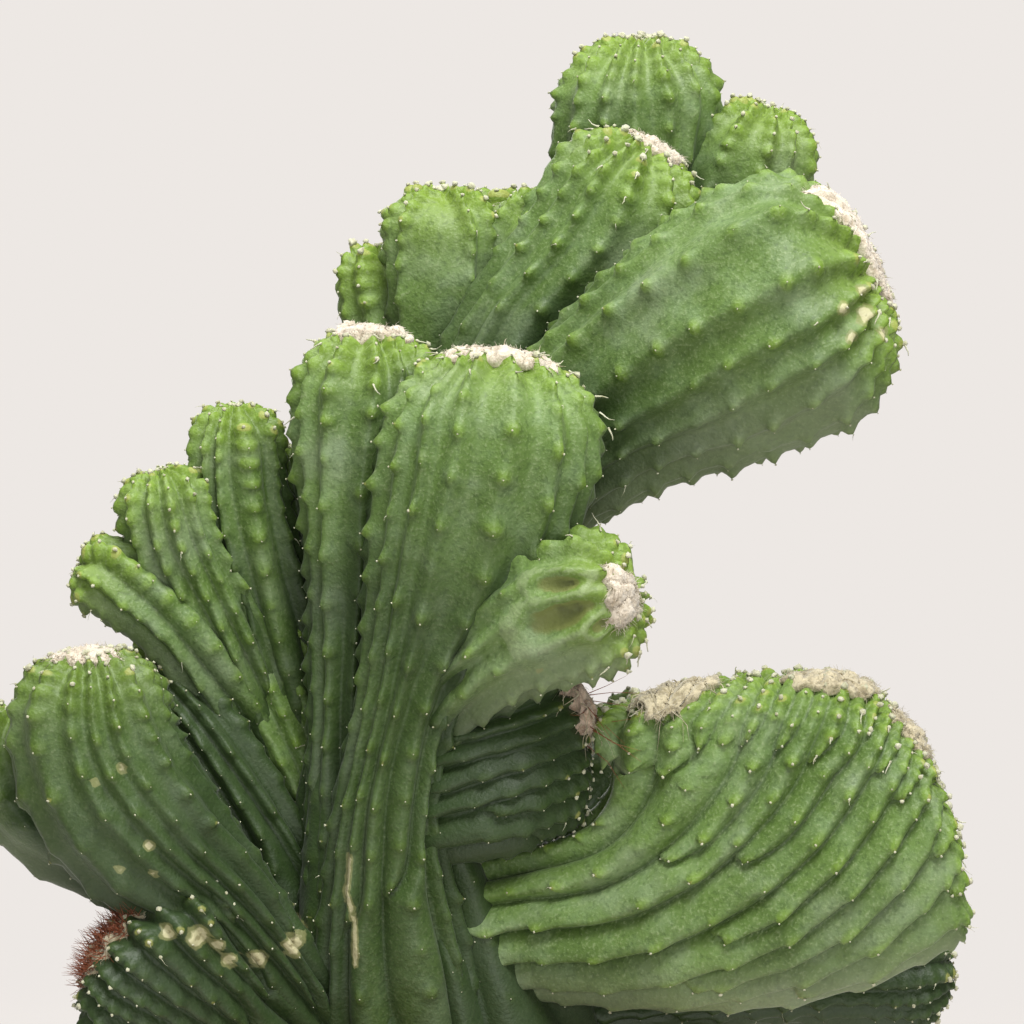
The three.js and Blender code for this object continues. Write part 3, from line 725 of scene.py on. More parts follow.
# %% Mesh helpers
def new_object(name, mesh, material, node):
    """Makes an object that rides on the frame and stands for a CAD node."""
    piece = bpy.data.objects.new(name, mesh)
    bpy.context.collection.objects.link(piece)
    mesh.materials.append(material)
    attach(piece, "root")
    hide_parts(node)
    return piece


def set_points(mesh, points):
    mesh.vertices.foreach_set("co", np.ascontiguousarray(points, dtype=np.float32).ravel())


def get_points(mesh):
    points = np.empty(3 * len(mesh.vertices), dtype=np.float32)
    mesh.vertices.foreach_get("co", points)
    return points.reshape(-1, 3)


def put_attribute(mesh, name, values):
    layer = mesh.attributes.new(name, "FLOAT", "POINT")
    layer.data.foreach_set("value", np.ascontiguousarray(values, dtype=np.float32).ravel())


def welded(mesh, distance=2e-6):
    """Welds what coincides, turns every face outwards and smooths the shading."""
    body = bmesh.new()
    body.from_mesh(mesh)
    bmesh.ops.remove_doubles(body, verts=body.verts, dist=distance)
    bmesh.ops.recalc_face_normals(body, faces=body.faces)
    for face in body.faces:
        face.smooth = True
    body.to_mesh(mesh)
    body.free()
    return mesh


def grid_mesh(name, columns, rows):
    """A flat sheet of cells, with the column and the row of each of its points."""
    sheet = bmesh.new()
    bmesh.ops.create_grid(sheet, x_segments=columns, y_segments=rows, size=0.5)
    mesh = bpy.data.meshes.new(name)
    sheet.to_mesh(mesh)
    sheet.free()
    flat = get_points(mesh)
    column = np.round((flat[:, 0] + 0.5) * columns).astype(int)
    row = np.round((flat[:, 1] + 0.5) * rows).astype(int)
    return mesh, column, row


def search_tree(mesh):
    """Answers what is nearest to a point, or where a ray meets a mesh."""
    body = bmesh.new()
    body.from_mesh(mesh)
    tree = BVHTree.FromBMesh(body)
    body.free()
    return tree


inside = search_tree(frame["nodes"]["cactus"].data)
print("plain model:", len(frame["nodes"]["cactus"].data.polygons), "faces")

# %% [markdown]
# ## Shelter
# Skin that lies deep between the stems gets little light, and the material darkens it there with painted
# shade.
# Rays from a sparse grid of points over each stem measure how much plain model is near, and the
# answer is spread over the fine skin. The material reads it as an attribute, so the shade stays
# with the plant when the lamps or the camera move.

# %% Shelter
SHELTER_REACH = 55
SKY = unit(np.random.default_rng(1).normal(size=(14, 3)))


def shelter(points, normal):
    """How much of the space over each point is filled by the rest of the plant, from 0 to 1."""
    rows, columns = points.shape[:2]
    some_rows = np.unique(np.linspace(0, rows - 1, max(4, rows // 9)).astype(int))
    some_columns = np.arange(0, columns, 9)
    coarse = np.empty((len(some_rows), len(some_columns)))
    for i, j in np.ndindex(coarse.shape):
        way = normal[some_rows[i], some_columns[j]]
        start = Vector((points[some_rows[i], some_columns[j]] + 3 * way) * MM)
        filled = 0
        for ray in unit(way + 0.97 * SKY):
            far = inside.ray_cast(start, Vector(ray), SHELTER_REACH * MM)[3]
            filled += 1 - far / (SHELTER_REACH * MM) if far else 0
        coarse[i, j] = filled / len(SKY)
    wide = np.array([
        np.interp(np.arange(columns), some_columns, line, period=columns) for line in coarse
    ])
    return np.array([np.interp(np.arange(rows), some_rows, line) for line in wide.T]).T


print("shelter is felt by", len(SKY), "rays of", SHELTER_REACH, "mm")

# %% [markdown]
# ## Sunken wounds
# The thumb has old wounds that dried and sank in, with a raised rim of new skin. Each is a turned
# ellipse on the front of the thumb: its middle across and up, its half-sizes, its turn and its
# depth. The ribs fade out near it, because the skin there is stretched over the hollow.

# %% Wounds
DENTS = [
    ((30, 243), (6.4, 2.5), 0.2, 1.4),
    ((30.7, 235.8), (10, 4), 0.42, 2.0),
    ((39.8, 233.9), (3, 1.9), 0.6, 1.2),
]
DENTED = "cactus_right_thumb"


def dented(points):
    """How deep each point sinks, how far in a wound it lies, how near a rim and how near at all."""
    sink, inner, rim, near = np.zeros((4,) + points.shape[:-1])
    for middle, half, turn, depth in DENTS:
        off = points[..., [0, 2]] - middle
        c, s = math.cos(turn), math.sin(turn)
        along, beside = off @ [c, s] / half[0], off @ [-s, c] / half[1]
        far = np.hypot(along, beside * (1 + 0.35 * along))
        far = far * (1 + 0.1 * lumps(points, 3, 9)) + 9 * (points[..., 1] > -40)
        hollow = 1 - ramp(far, 0.5, 1.1)
        sink = np.maximum(sink, depth * hollow)
        inner = np.maximum(inner, hollow * (0.75 + 0.25 * np.clip(along, -1, 1)))
        rim = np.maximum(rim, np.exp(-(((far - 1.25) / 0.22) ** 2)))
        near = np.maximum(near, 1 - ramp(far, 1.2, 2.2))
    return sink, inner, rim * (1 - inner), near


print(len(DENTS), "wounds on", DENTED)

# %% [markdown]
# ## Building a stem
# A grid sheet is laid out by the operator, its points are moved onto the skin and out along the
# normal by the relief, and the seam and the ends are welded. What the material needs, such as
# how far a spot is from the growing tip, goes along as attributes. The best point of each wart is
# kept for the tufts.

# %% Stem builder
DOWN = np.array([0, 0, -1])
FACTS = ("ridge", "wart", "tip", "shade", "sky", "dent")


def build_stem(name, stem):
    """A stem's fine mesh, and the places of its warts."""
    look = LOOKS[stem["look"]]
    column_space, row_space = np.array(look["cell"]) * stem["coarse"]
    widest = max(half[0] + half[1] for half in stem["half"]) * 3.2
    columns = 2 * round(widest / column_space / 2)
    points, tangent, ring, skin_length = smooth_skin(stem, columns, row_space)
    rows = len(points) - 1
    upwards = unit(np.gradient(points, axis=0))
    sideways = unit(np.roll(points, -1, axis=1) - np.roll(points, 1, axis=1))
    normal = unit(np.cross(upwards, sideways))
    normal[0] = -tangent[0]
    normal[-1] = tangent[-1]
    height, hook, facts = relief(stem, points, ring, skin_length, sideways @ DOWN)
    facts["dent"] = 0 * height
    if name == DENTED:
        sink, inner, rim, near = dented(points)
        height = height * (1 - 0.75 * near) - sink + 0.6 * rim
        facts["dent"] = inner - rim
        facts["ridge"] = np.maximum(facts["ridge"], near)
        facts["wart"] = facts["wart"] * (1 - near)
    down = DOWN - 0.35 * upwards
    down = down - (down * normal).sum(axis=2)[:, :, None] * normal
    moved = points + normal * height[:, :, None] + down * hook[:, :, None]
    # Painted shade on hidden stems and on skin sheltered by other stems. Far below the tip the skin is
    # old and darker in itself, and it gets painted shade as well.
    age_and_shade = look["age_and_shade"] * ramp(facts["tip"], 12, 80)
    facts["shade"] = stem["shade"] + shelter(points, normal) + age_and_shade
    # How far the skin faces up. The material paints a pale reflection on skin that faces down.
    facts["sky"] = normal[:, :, 2]
    mesh, column, row = grid_mesh(name, columns, rows)
    column = column % columns
    set_points(mesh, moved[row, column] * MM)
    from_tip = facts["tip"]
    facts["tip"] = from_tip + look["fresh"]
    for fact in FACTS:
        put_attribute(mesh, fact, facts[fact][row, column])
    welded(mesh)

    label = facts["wart_number"].ravel()
    value = facts["wart"].ravel()
    order = np.lexsort((value, label))
    last = np.append(label[order][1:] != label[order][:-1], True)
    best = order[last]
    best = best[value[best] > 0.3]
    peaks = dict(
        place=moved.reshape(-1, 3)[best],
        way=normal.reshape(-1, 3)[best],
        up=upwards.reshape(-1, 3)[best],
        tip=from_tip.ravel()[best],
        size=value[best],
        tuft=np.full(len(best), look["tuft"][0]),
        tip_tuft=np.full(len(best), look["tuft"][1]),
        threads=np.full(len(best), stem["threads"]),
    )
    return mesh, peaks


print("each stem carries", ", ".join(FACTS))

# %% [markdown]
# ## The skin's material
# The flesh is a waxy green with a blue-grey bloom. It is yellower where it is young, at the tips
# and on the warts, and all of it is finely stippled. Old scars are corky. Painted shade darkens
# the grooves, the skin between the stems and the old skin low down, which is darker in itself as
# well, and a painted reflection greys the skin that faces down.
# It could be painted by hand, but layers that follow the relief fit at once when a stem changes.
# Each line lays one colour over the last by a mask, as glazes go over a painting.

# %% Flesh
paint = Paint("cactus_flesh")
ridge = paint.attribute("ridge")
wart = paint.attribute("wart")
tip = paint.attribute("tip")
sky = paint.attribute("sky")
dent = paint.attribute("dent") + (paint.noise(2.5) - 0.5) * 0.5
scar = paint.attribute("scar") + (paint.noise(0.9) - 0.5) * 0.4
shade = paint.attribute("shade")
cloud = paint.noise(16, detail=3)
blotch = paint.noise(4, detail=3)
bloom = paint.noise(10, detail=4, roughness=0.6)
grain = paint.noise(0.7, detail=2)
stipple = paint.noise(0.35, detail=1)
young = 1 - tip.step(-2, 32)

color = paint.mix(cloud.step(0.35, 0.65), tone("546e30"), tone("688440"))
color = paint.mix(blotch.step(0.45, 0.75) * 0.35, color, tone("79906a"))
color = paint.mix(bloom.step(0.48, 0.7) * 0.4, color, tone("8e9c80"))
color = paint.mix(young * 0.85, color, tone("7a942a"))
# Painted shade: the grooves are darkened towards a dark green.
color = paint.mix((1 - ridge.step(0.0, 0.6)) * 0.65, color, tone("22350f"))
color = paint.mix(wart.step(0.15, 0.7) * 0.5, color, tone("7c9c2e"))
color = paint.mix(grain.step(0.5, 0.75) * 0.25, color, tone("93a670"))
color = paint.mix((1 - grain.step(0.28, 0.48)) * 0.35, color, tone("2c4218"))
color = paint.mix(stipple.step(0.55, 0.75) * 0.2, color, tone("a8b58c"))
# Painted reflection: skin that faces down is greyed, as if the pale floor showed in its wax.
color = paint.mix((1 - sky.step(-0.8, -0.1)) * 0.5, color, tone("858d74"))
# Painted shade: hidden, sheltered and low skin is darkened. On old skin this is partly its real darker
# colour.
color = paint.mix(shade.step(0.05, 1.0) * 0.84, color, tone("1c3012"))
color = paint.mix(wart.step(0.82, 0.95) * 0.5, color, tone("a9a85c"))
color = paint.mix((1 - dent.step(-0.9, -0.3)) * 0.3, color, tone("a5b08c"))
rotten = paint.mix(dent.step(0.65, 1.0), tone("7a8046"), tone("3e3c24"))
color = paint.mix(dent.step(0.15, 0.5) * 0.85, color, rotten)
color = paint.mix(scar.step(0.3, 0.5) * 0.6, color, tone("8f8f5e"))
color = paint.mix(scar.step(0.65, 0.85) * 0.85, color, tone("c4be96"))
color = paint.mix(scar.step(1.15, 1.3) * 0.6, color, tone("6b6238"))
relief_height = stipple * 0.35 + grain * 0.6 + blotch * 0.6
normal = paint.bump(relief_height, 0.35, 0.8)
flesh = paint.finish(
    color, 0.44 + 0.2 * cloud, normal, Coat_Weight=0.05, Coat_Roughness=0.3,
    Specular_IOR_Level=0.4, Sheen_Weight=0.06, Sheen_Roughness=0.45,
)
print("flesh:", len(flesh.node_tree.nodes), "nodes")

# %% [markdown]
# ## Scars
# A cactus keeps every wound as cork. Each scar is a spot on the front of the plant, given by its
# place across and up, and its size, and the points of the skin near it learn how close they are.

# %% Scars
SCARS = [
    (-69, 200.5, 1.2), (-75, 197.5, 1.0), (-62, 176, 1.2), (-70, 177, 1.1), (-63, 182.5, 1.3),
    (101, 307, 1.5), (96, 303, 1.6), (101.5, 301.5, 2.1), (98, 296.5, 1.6), (106, 297, 1.5),
    (-59, 162, 2.0), (-52.5, 160.5, 2.4), (-48, 158, 1.6), (-45.5, 154, 1.7), (-39.5, 153, 2.2),
    (-31.5, 155, 2.6), (26, 222, 0.9),
]
STREAK = [(-18, 176), (-19, 168), (-17, 160), (-17, 150)]


def scarred(points):
    """How deep in a scar each point lies, up to 1.5 in the dark middle of a large one."""
    worst = np.zeros(points.shape[:-1])
    wobble = 1 + 0.3 * lumps(points, 2.5, 7)
    for x, z, size in SCARS:
        far = np.hypot(points[..., 0] - x, points[..., 2] - z) / (size * wobble)
        worst = np.maximum(worst, np.clip(1.5 - far, 0, min(1.5, 0.65 * size)))
    for (x, z), (x2, z2) in zip(STREAK, STREAK[1:]):
        way = np.array([x2 - x, z2 - z])
        to = points[..., [0, 2]] - [x, z]
        part = np.clip(to @ way / (way @ way), 0, 1)
        off = np.linalg.norm(to - part[..., None] * way, axis=-1) / (1.1 * wobble)
        worst = np.maximum(worst, np.clip(1.2 - off, 0, 1))
    return worst * (points[..., 1] < 0)


print(len(SCARS), "scars and a streak of", len(STREAK), "points")

# %% [markdown]
# ## Growing all the stems
# One loop builds every stem of the table. They run into each other at their roots, as the arms of
# the plant do. A Boolean could join them, but it would cut up the fine skin, and where two skins
# cross there is just the crease that a real fork shows.

# %% Grow the stems
peaks = {}
skins = {}
total = 0
for name, stem in STEMS.items():
    mesh, peaks[name] = build_stem("cactus_" + name, stem)
    put_attribute(mesh, "scar", scarred(get_points(mesh) / MM))
    skins[name] = new_object("cactus_" + name, mesh, flesh, "cactus")
    total += 2 * len(mesh.polygons)
print("stems:", total, "triangles,", sum(len(p["size"]) for p in peaks.values()), "warts")

# %% [markdown]
# ## Small templates
# The growing tips are covered with matted wool, and each wart ends in a small felt tuft with a
# stray hair or two. Lumps, hairs and bristles are small templates made once by operators, stamped
# many times into one mesh and then placed all together. Instances would be lighter, but the
# export drops them, so each template has only a few dozen faces.

# %% Templates
def lump_template(subdivisions):
    body = bmesh.new()
    bmesh.ops.create_icosphere(body, subdivisions=subdivisions, radius=1)
    mesh = bpy.data.meshes.new("lump")
    body.to_mesh(mesh)
    body.free()
    return mesh


def hair_template(segments, taper):
    """A three-sided hair one unit high that tapers towards its end."""
    body = bmesh.new()
    bmesh.ops.create_circle(body, cap_ends=True, segments=3, radius=1)
    face = body.faces[:][0]
    for _ in range(segments):
        face = bmesh.ops.extrude_discrete_faces(body, faces=[face])["faces"][0]
        bmesh.ops.translate(body, verts=face.verts, vec=(0, 0, 1 / segments))
    bmesh.ops.recalc_face_normals(body, faces=body.faces)
    mesh = bpy.data.meshes.new("hair")
    body.to_mesh(mesh)
    body.free()
    points = get_points(mesh)
    points[:, :2] *= 1 - taper * points[:, 2:3]
    set_points(mesh, points)
    return mesh


print("a lump has", len(lump_template(1).polygons), "faces, a hair", len(hair_template(4, 0.7).polygons))

# %% [markdown]
# ## Stamping and placing
# A template is stamped as often as it is needed, and then all its copies are turned, sized and
# moved in one sum over the whole array of points. Each copy gets its own random turn, so that no
# two look alike.

# %% Stamping and placing
def stamped(name, template, count):
    """A mesh that holds a template count times, and its points as count equal blocks."""
    body = bmesh.new()
    for _ in range(count):
        body.from_mesh(template)
    for face in body.faces:
        face.smooth = True
    mesh = bpy.data.meshes.new(name)
    body.to_mesh(mesh)
    body.free()
    return mesh, get_points(mesh).reshape(count, -1, 3)


def side_ways(ways, random):
    """Two directions at right angles to each of the given ones, at a random turn."""
    other = random.normal(size=ways.shape)
    first = unit(other - (other * ways).sum(axis=1)[:, None] * ways)
    return first, np.cross(ways, first)


def place_lumps(name, template, places, ways, sizes, flat, random):
    """Lumps of the given sizes in millimetres, pressed flat by a share along their ways."""
    mesh, blocks = stamped(name, template, len(places))
    first, second = side_ways(ways, random)
    ragged = 1 + 0.22 * random.normal(size=(len(places), blocks.shape[1], 1)).clip(-2, 2)
    blocks = blocks * ragged * np.asarray(sizes)[:, None, None]
    spread = (
        blocks[:, :, :1] * first[:, None]
        + blocks[:, :, 1:2] * second[:, None]
        + blocks[:, :, 2:] * flat * ways[:, None]
    )
    set_points(mesh, (places[:, None] + spread) * MM)
    return mesh


def place_hairs(name, template, places, ways, lengths, radius, bend, random, droop=0.0):
    """Hairs that start along their ways and bend to one side, and downwards by droop."""
    mesh, blocks = stamped(name, template, len(places))
    first, second = side_ways(ways, random)
    high = blocks[:, :, 2:]
    long = np.asarray(lengths)[:, None, None]
    curl = bend * random.uniform(-1, 1, (len(places), 1, 1))
    wave = 0.12 * bend * np.sin(6 * high + random.uniform(0, 6, (len(places), 1, 1)))
    spread = (
        (blocks[:, :, :1] * radius + (curl * high**2 + wave * high) * long) * first[:, None]
        + (blocks[:, :, 1:2] * radius + wave * high * long) * second[:, None]
        + high * long * ways[:, None]
    )
    spread[:, :, 2] -= droop * high[:, :, 0] ** 2 * long[:, :, 0]
    set_points(mesh, (places[:, None] + spread) * MM)
    return mesh


def joined(name, meshes):
    body = bmesh.new()
    for mesh in meshes:
        body.from_mesh(mesh)
    whole = bpy.data.meshes.new(name)
    body.to_mesh(whole)
    body.free()
    return whole


# %% [markdown]
# ## Felt and bristles
# Felt has no gloss. Two noises, one for clumps and one for fibres, mix a dark and a light tone and
# lift the surface a little, and sheen gives it the pale edge that fibres have. The wool of the
# crests is older and tanner than that of the fingers.

# %% Wool materials
def felt(name, dark, light):
    paint = Paint(name)
    clumps = paint.noise(1.4, detail=4, roughness=0.65)
    fibre = paint.noise(0.3, detail=2, roughness=0.7)
    color = paint.mix((clumps * 0.7 + fibre * 0.3).step(0.36, 0.6), tone(dark), tone(light))
    normal = paint.bump(fibre * 0.7 + clumps, 0.5, 0.8)
    return paint.finish(color, 0.95, normal, Sheen_Weight=0.4, Sheen_Roughness=0.7)


wool = felt("tip_wool", "b0a086", "e0d4c0")
tuft_wool = felt("wart_tufts", "9c9a74", "c8c7a8")
crest_wool = felt("crest_wool", "8f8260", "c8bc9a")
rust = felt("rust_felt", "a0846a", "d6bea6")
bristle_paint = Paint("bristles")
bristle = bristle_paint.finish(
    bristle_paint.mix(bristle_paint.noise(3), tone("6a3420"), tone("a4603e")), 0.5
)
print("felts:", ", ".join(finish.name for finish in (wool, tuft_wool, crest_wool, rust)))

# %% [markdown]
# ## Tufts on the warts
# On every wart sits an areole, the cushion of felt that spines or hairs grow out of. Particles
# could scatter such cushions, but they would miss the warts. Here lumps are stamped on the peaks
# that the relief reported, larger near the tips, and peaks that lie inside another stem are left
# out. A few warts have a hair, and some near the tips trail a thread of old felt.

# %% Tufts on the warts
random = np.random.default_rng(5)


def outside(places, depth=1.5):
    """Whether each place lies less than depth millimetres under the plain model's skin."""
    clear = []
    for place in places:
        spot, normal, _, _ = inside.find_nearest(Vector(place) * MM)
        clear.append((Vector(place) * MM - spot).dot(normal) > -depth * MM)
    return np.array(clear)


every = {key: np.concatenate([p[key] for p in peaks.values()]) for key in peaks["trunk"]}
seen_warts = outside(every["place"])
every = {key: values[seen_warts] for key, values in every.items()}
print(seen_warts.sum(), "of", len(seen_warts), "warts show")
tip_share = 1 - ramp(every["tip"], 9, 24)
sizes = every["tuft"] + every["tip_tuft"] * tip_share
sizes = sizes * every["size"] * random.uniform(0.65, 1.35, len(tip_share))
places = every["place"] + 0.15 * every["way"]
near = every["tip"] < 7
tufts = joined("cactus_tufts", [
    place_lumps("a", lump_template(2), places[near], every["way"][near], sizes[near], 0.8, random),
    place_lumps("b", lump_template(1), places[~near], every["way"][~near], sizes[~near], 0.8, random),
])
new_object("cactus_tufts", tufts, tuft_wool, "cactus")
print("tufts:", len(tufts.polygons), "faces")

# %% [markdown]
# ## Hairs and threads
# The hairs lean away from the tip and droop, as their weight makes them. They are three-sided and
# taper, because a hair is thinner than a pixel almost everywhere, and more sides wouldn't show.

# %% Hairs and threads
hairy = random.random(len(places)) < 0.03 + 0.15 * tip_share
ways = unit(every["way"] - 0.6 * every["up"] + 0.4 * random.normal(size=every["way"].shape))[hairy]
lengths = random.uniform(1.0, 2.4, hairy.sum())
hairs = place_hairs(
    "cactus_hairs", hair_template(4, 0.7), places[hairy], ways, lengths, 0.11, 0.5, random, droop=0.35
)
new_object("cactus_hairs", hairs, tuft_wool, "cactus")

dripping = random.random(len(places)) < every["threads"] * (1 - ramp(every["tip"], 16, 34))
ways = unit(0.45 * every["way"] - every["up"] + 0.25 * random.normal(size=every["way"].shape))[dripping]
lengths = random.uniform(1.6, 3.6, dripping.sum())
drips = place_hairs(
    "cactus_drips", hair_template(4, 0.6), places[dripping], ways, lengths, 0.28, 0.5, random, droop=0.1
)
new_object("cactus_drips", drips, tuft_wool, "cactus")
print(hairy.sum(), "hairs and", dripping.sum(), "threads")

# %% [markdown]
# ## Where the wool lies
# The growing tips hide under mats of wool. Each pad is given by its stem, by where round the tip
# it lies, as a share of a full turn, by a shift from there across and to the front, and by its
# half length, half width and height. Its starting points hover over the tip and are dropped onto
# the fine skin along rays, so that the wool lies on the ribs however they run.

# %% Pad places
WOOL = {
    "wool_front_finger": ("front_finger", 0.25, (0, 2.5), (13.5, 9.5, 3.8)),
    "wool_second_finger": ("second_finger", 0.25, (0, 1.5), (9.5, 7, 3.4)),
    "wool_thumb": ("right_thumb", 0.25, (1, -5.5), (7.5, 6, 2.4)),
    "wool_big_right": ("big_right", 0.25, (8, -4), (17, 5, 3.2)),
    "wool_upper_mid": ("upper_mid", 0.25, (2, 0), (8.5, 6, 3.0)),
    "wool_left_finger": ("left_finger", 0.25, (0, 1), (9, 7, 2.0)),
    "wool_crest_left": ("right_crest", 0.065, (1.5, -6), (7, 7.5, 3.2)),
    "wool_crest_middle": ("right_crest", 0.215, (0, -4), (11, 6.5, 3.0)),
    "wool_crest_right": ("right_crest", 0.325, (0, -3), (8, 5, 2.6)),
    "rust_wool_basal": ("basal_crest_left", 0.25, (0, 0), (13, 5, 1.3)),
    "rust_wool_fold": ("inner_fold", 0.1, (0, -5), (9, 7, 5)),
}


def pad_frame(stem_name, around, shift):
    """The middle of a pad on its stem's tip, and its directions along, across and out."""
    stem = STEMS[stem_name]
    columns = 4 * stem["ribs"]
    points, tangent, _, _ = smooth_skin(stem, columns, 2)
    middle = points[-1, round(around * columns)]
    out = tangent[-1]
    across = np.array(stem["across"], float)
    across = unit(across - across @ out * out)
    front = np.cross(across, out)
    return middle + shift[0] * across + shift[1] * front, across, front, out


def on_skin(stem_name, starts, out):
    """The skin below each start, and its direction there. A start that misses takes the nearest skin."""
    tree = search_tree(skins[stem_name].data)
    spots, ways, hits = [], [], []
    for start in starts:
        spot, normal, _, _ = tree.ray_cast(Vector(start) * MM, Vector(-out))
        hit = spot is not None and (Vector(start) * MM - spot).length < 26 * MM
        if not hit:
            spot, normal, _, _ = tree.find_nearest(Vector(start - 14 * out) * MM)
        spots.append(np.array(spot) / MM)
        ways.append(np.array(normal))
        hits.append(hit)
    return np.array(spots), np.array(ways), np.array(hits)


print(len(WOOL), "pads, the longest", 2 * max(size[0] for _, _, _, size in WOOL.values()), "mm long")

# %% [markdown]
# ## A mat of wool
# A ball is laid over the skin: its upper half follows the skin at the height of the felt, and its
# lower half just under it, which closes the mat. Laid straight on the ribs it would look like
# petals, so smooth_vert evens it out. Small lumps then fluff it up, and short fibres stand on it,
# most of them near the rim, which hides where the felt ends.

# %% A mat of wool
FIBRES = 700


def felted(mesh, times):
    """Turns the faces of a lying mat outwards and evens it out."""
    body = bmesh.new()
    body.from_mesh(mesh)
    for _ in range(times):
        bmesh.ops.smooth_vert(
            body, verts=body.verts, factor=0.5, use_axis_x=True, use_axis_y=True, use_axis_z=True
        )
    bmesh.ops.recalc_face_normals(body, faces=body.faces)
    for face in body.faces:
        face.smooth = True
    body.to_mesh(mesh)
    body.free()


def point_normals(mesh):
    ways = np.empty(3 * len(mesh.vertices), dtype=np.float32)
    mesh.vertices.foreach_get("normal", ways)
    return ways.reshape(-1, 3).astype(float)


def build_pad(name, stem_name, around, shift, size, number):
    """A mat of felt on a tip, a little lower at its ragged edge, with loose fibres."""
    random = np.random.default_rng(40 + number)
    long, wide, high = size
    middle, across, front, out = pad_frame(stem_name, around, shift)
    mat = bmesh.new()
    bmesh.ops.create_icosphere(mat, subdivisions=5, radius=1)
    mesh = bpy.data.meshes.new(name)
    mat.to_mesh(mesh)
    mat.free()
    ball = get_points(mesh).astype(float)
    turn = np.arctan2(ball[:, 1], ball[:, 0])
    reach = np.arcsin(np.clip(np.hypot(ball[:, 0], ball[:, 1]), 0, 1)) / (math.pi / 2)
    ragged = 1 + 0.10 * np.sin(3 * turn + number) + 0.07 * np.sin(8 * turn) + 0.06 * np.sin(17 * turn)
    reach = reach * ragged
    starts = middle + np.outer(reach * long * np.cos(turn), across)
    starts = starts + np.outer(reach * wide * np.sin(turn), front) + 14 * out
    spots, ways, hit = on_skin(stem_name, starts, out)
    dome = np.sqrt(np.clip(1 - (reach / 1.15) ** 2, 0, 1))
    upper = ball[:, 2] > 0
    rise = np.where(upper, high * (0.45 + 0.55 * dome), -1.2) - 0.3
    set_points(mesh, (spots + rise[:, None] * ways) * MM)
    felted(mesh, 9)
    places, ways = get_points(mesh).astype(float) / MM, point_normals(mesh)
    fluff = 0.3 * lumps(places, 2.2, number) + 0.25 * lumps(places, 0.9, number + 20)
    fluff = fluff + 0.18 * random.normal(size=len(places))
    set_points(mesh, (places + (fluff * upper)[:, None] * ways) * MM)
    chance = upper * (0.35 + ramp(reach, 0.6, 1))
    pick = random.choice(len(places), FIBRES, p=chance / chance.sum())
    fibre_ways = unit(0.35 * ways[pick] + random.normal(size=(FIBRES, 3)))
    starts = places[pick] - 0.1 * ways[pick]
    fibres = place_hairs(
        name, hair_template(2, 0.6), starts, fibre_ways, random.uniform(0.7, 2.0, FIBRES), 0.075, 0.9,
        random, droop=0.3,
    )
    return joined(name, [mesh, fibres]), places[upper], ways[upper]


# %% [markdown]
# ## Needles and threads
# Rust-brown bristles stand in the felt at the base and in the fold, and strands of old wool hang
# from the crest. Each kind is a line of numbers: how many, their lengths, their radius, the way
# they lean, and how much they go astray, bend and hang down.

# %% Needles, threads and all the pads
NEEDLES = {
    "rust_wool_basal": (520, (2.5, 5.5), 0.13, (-0.5, 0, 0.3), 0.5, 0.3, 0.0),
    "rust_wool_fold": (14, (8, 16), 0.13, (1.0, -0.5, -0.2), 0.35, 0.3, 0.0),
}
THREADS = {
    "rust_wool_fold": (50, (2.5, 7), 0.22, (-0.2, -1, -0.3), 0.7, 0.9, 0.9),
    "wool_crest_left": (60, (2.5, 8), 0.22, (0.1, -1, -0.3), 0.6, 0.9, 0.9),
    "wool_front_finger": (26, (2, 4), 0.2, (0, -1, -0.3), 0.6, 0.5, 0.5),
    "wool_thumb": (20, (2, 4), 0.2, (-0.6, -1, 0), 0.6, 0.5, 0.5),
}


def fringe(name, spots, ways, numbers, seed):
    """Needles or threads that stand on random spots of a pad."""
    count, lengths, radius, lean, stray, bend, droop = numbers
    random = np.random.default_rng(seed)
    pick = random.integers(0, len(spots), count)
    fringe_ways = unit(0.5 * ways[pick] + lean + stray * random.normal(size=(count, 3)))
    template = hair_template(2 if bend < 0.5 else 4, 0.8)
    long = random.uniform(*lengths, count)
    return place_hairs(name, template, spots[pick], fringe_ways, long, radius, bend, random, droop)


for number, (name, (stem_name, around, shift, size)) in enumerate(WOOL.items()):
    mesh, spots, ways = build_pad(name, stem_name, around, shift, size, number)
    slot = "rust_wool" if name.startswith("rust") else "wool"
    finish = crest_wool if "crest" in name or slot == "rust_wool" else wool
    finish = rust if name == "rust_wool_fold" else finish
    new_object(name, mesh, finish, name)
    if name in NEEDLES:
        needles = fringe(name + "_needles", spots, ways, NEEDLES[name], number)
        new_object(name + "_needles", needles, bristle, name)
    if name in THREADS:
        threads = fringe(name + "_threads", spots, ways, THREADS[name], number + 50)
        new_object(name + "_threads", threads, crest_wool, name)
    print(name, sum(len(p.vertices) - 2 for p in mesh.polygons), "triangles")

# %% [markdown]
# ## Pot
# A thrown clay pot is round, so it is spun from its profile, as a potter would do it. A lathe
# modifier would do as well, but the operator leaves plain points, and these get faint throwing
# rings and a wobble. The profile has a thick band at the top and small rounded edges.

# %% Pot shape
POT = dict(height=116, foot=52, band=22, radius=75, step=4, wall=6, floor=8, edge=1.5)


def pot_profile():
    """The corners of half a cut through the pot, from under its foot over the rim to its floor."""
    top, foot, radius, edge = POT["height"], POT["foot"], POT["radius"], POT["edge"]
    band_foot = top - POT["band"]
    inner_top = radius - POT["wall"]
    inner_foot = foot - POT["wall"]
    return [
        (0, 0), (foot - edge, 0), (foot, edge), (radius - POT["step"], band_foot - edge),
        (radius - edge / 2, band_foot), (radius, band_foot + edge), (radius, top - edge),
        (radius - edge, top), (inner_top, top), (inner_top - edge, top - edge),
        (inner_foot, POT["floor"] + edge), (inner_foot - edge, POT["floor"]), (0, POT["floor"]),
    ]


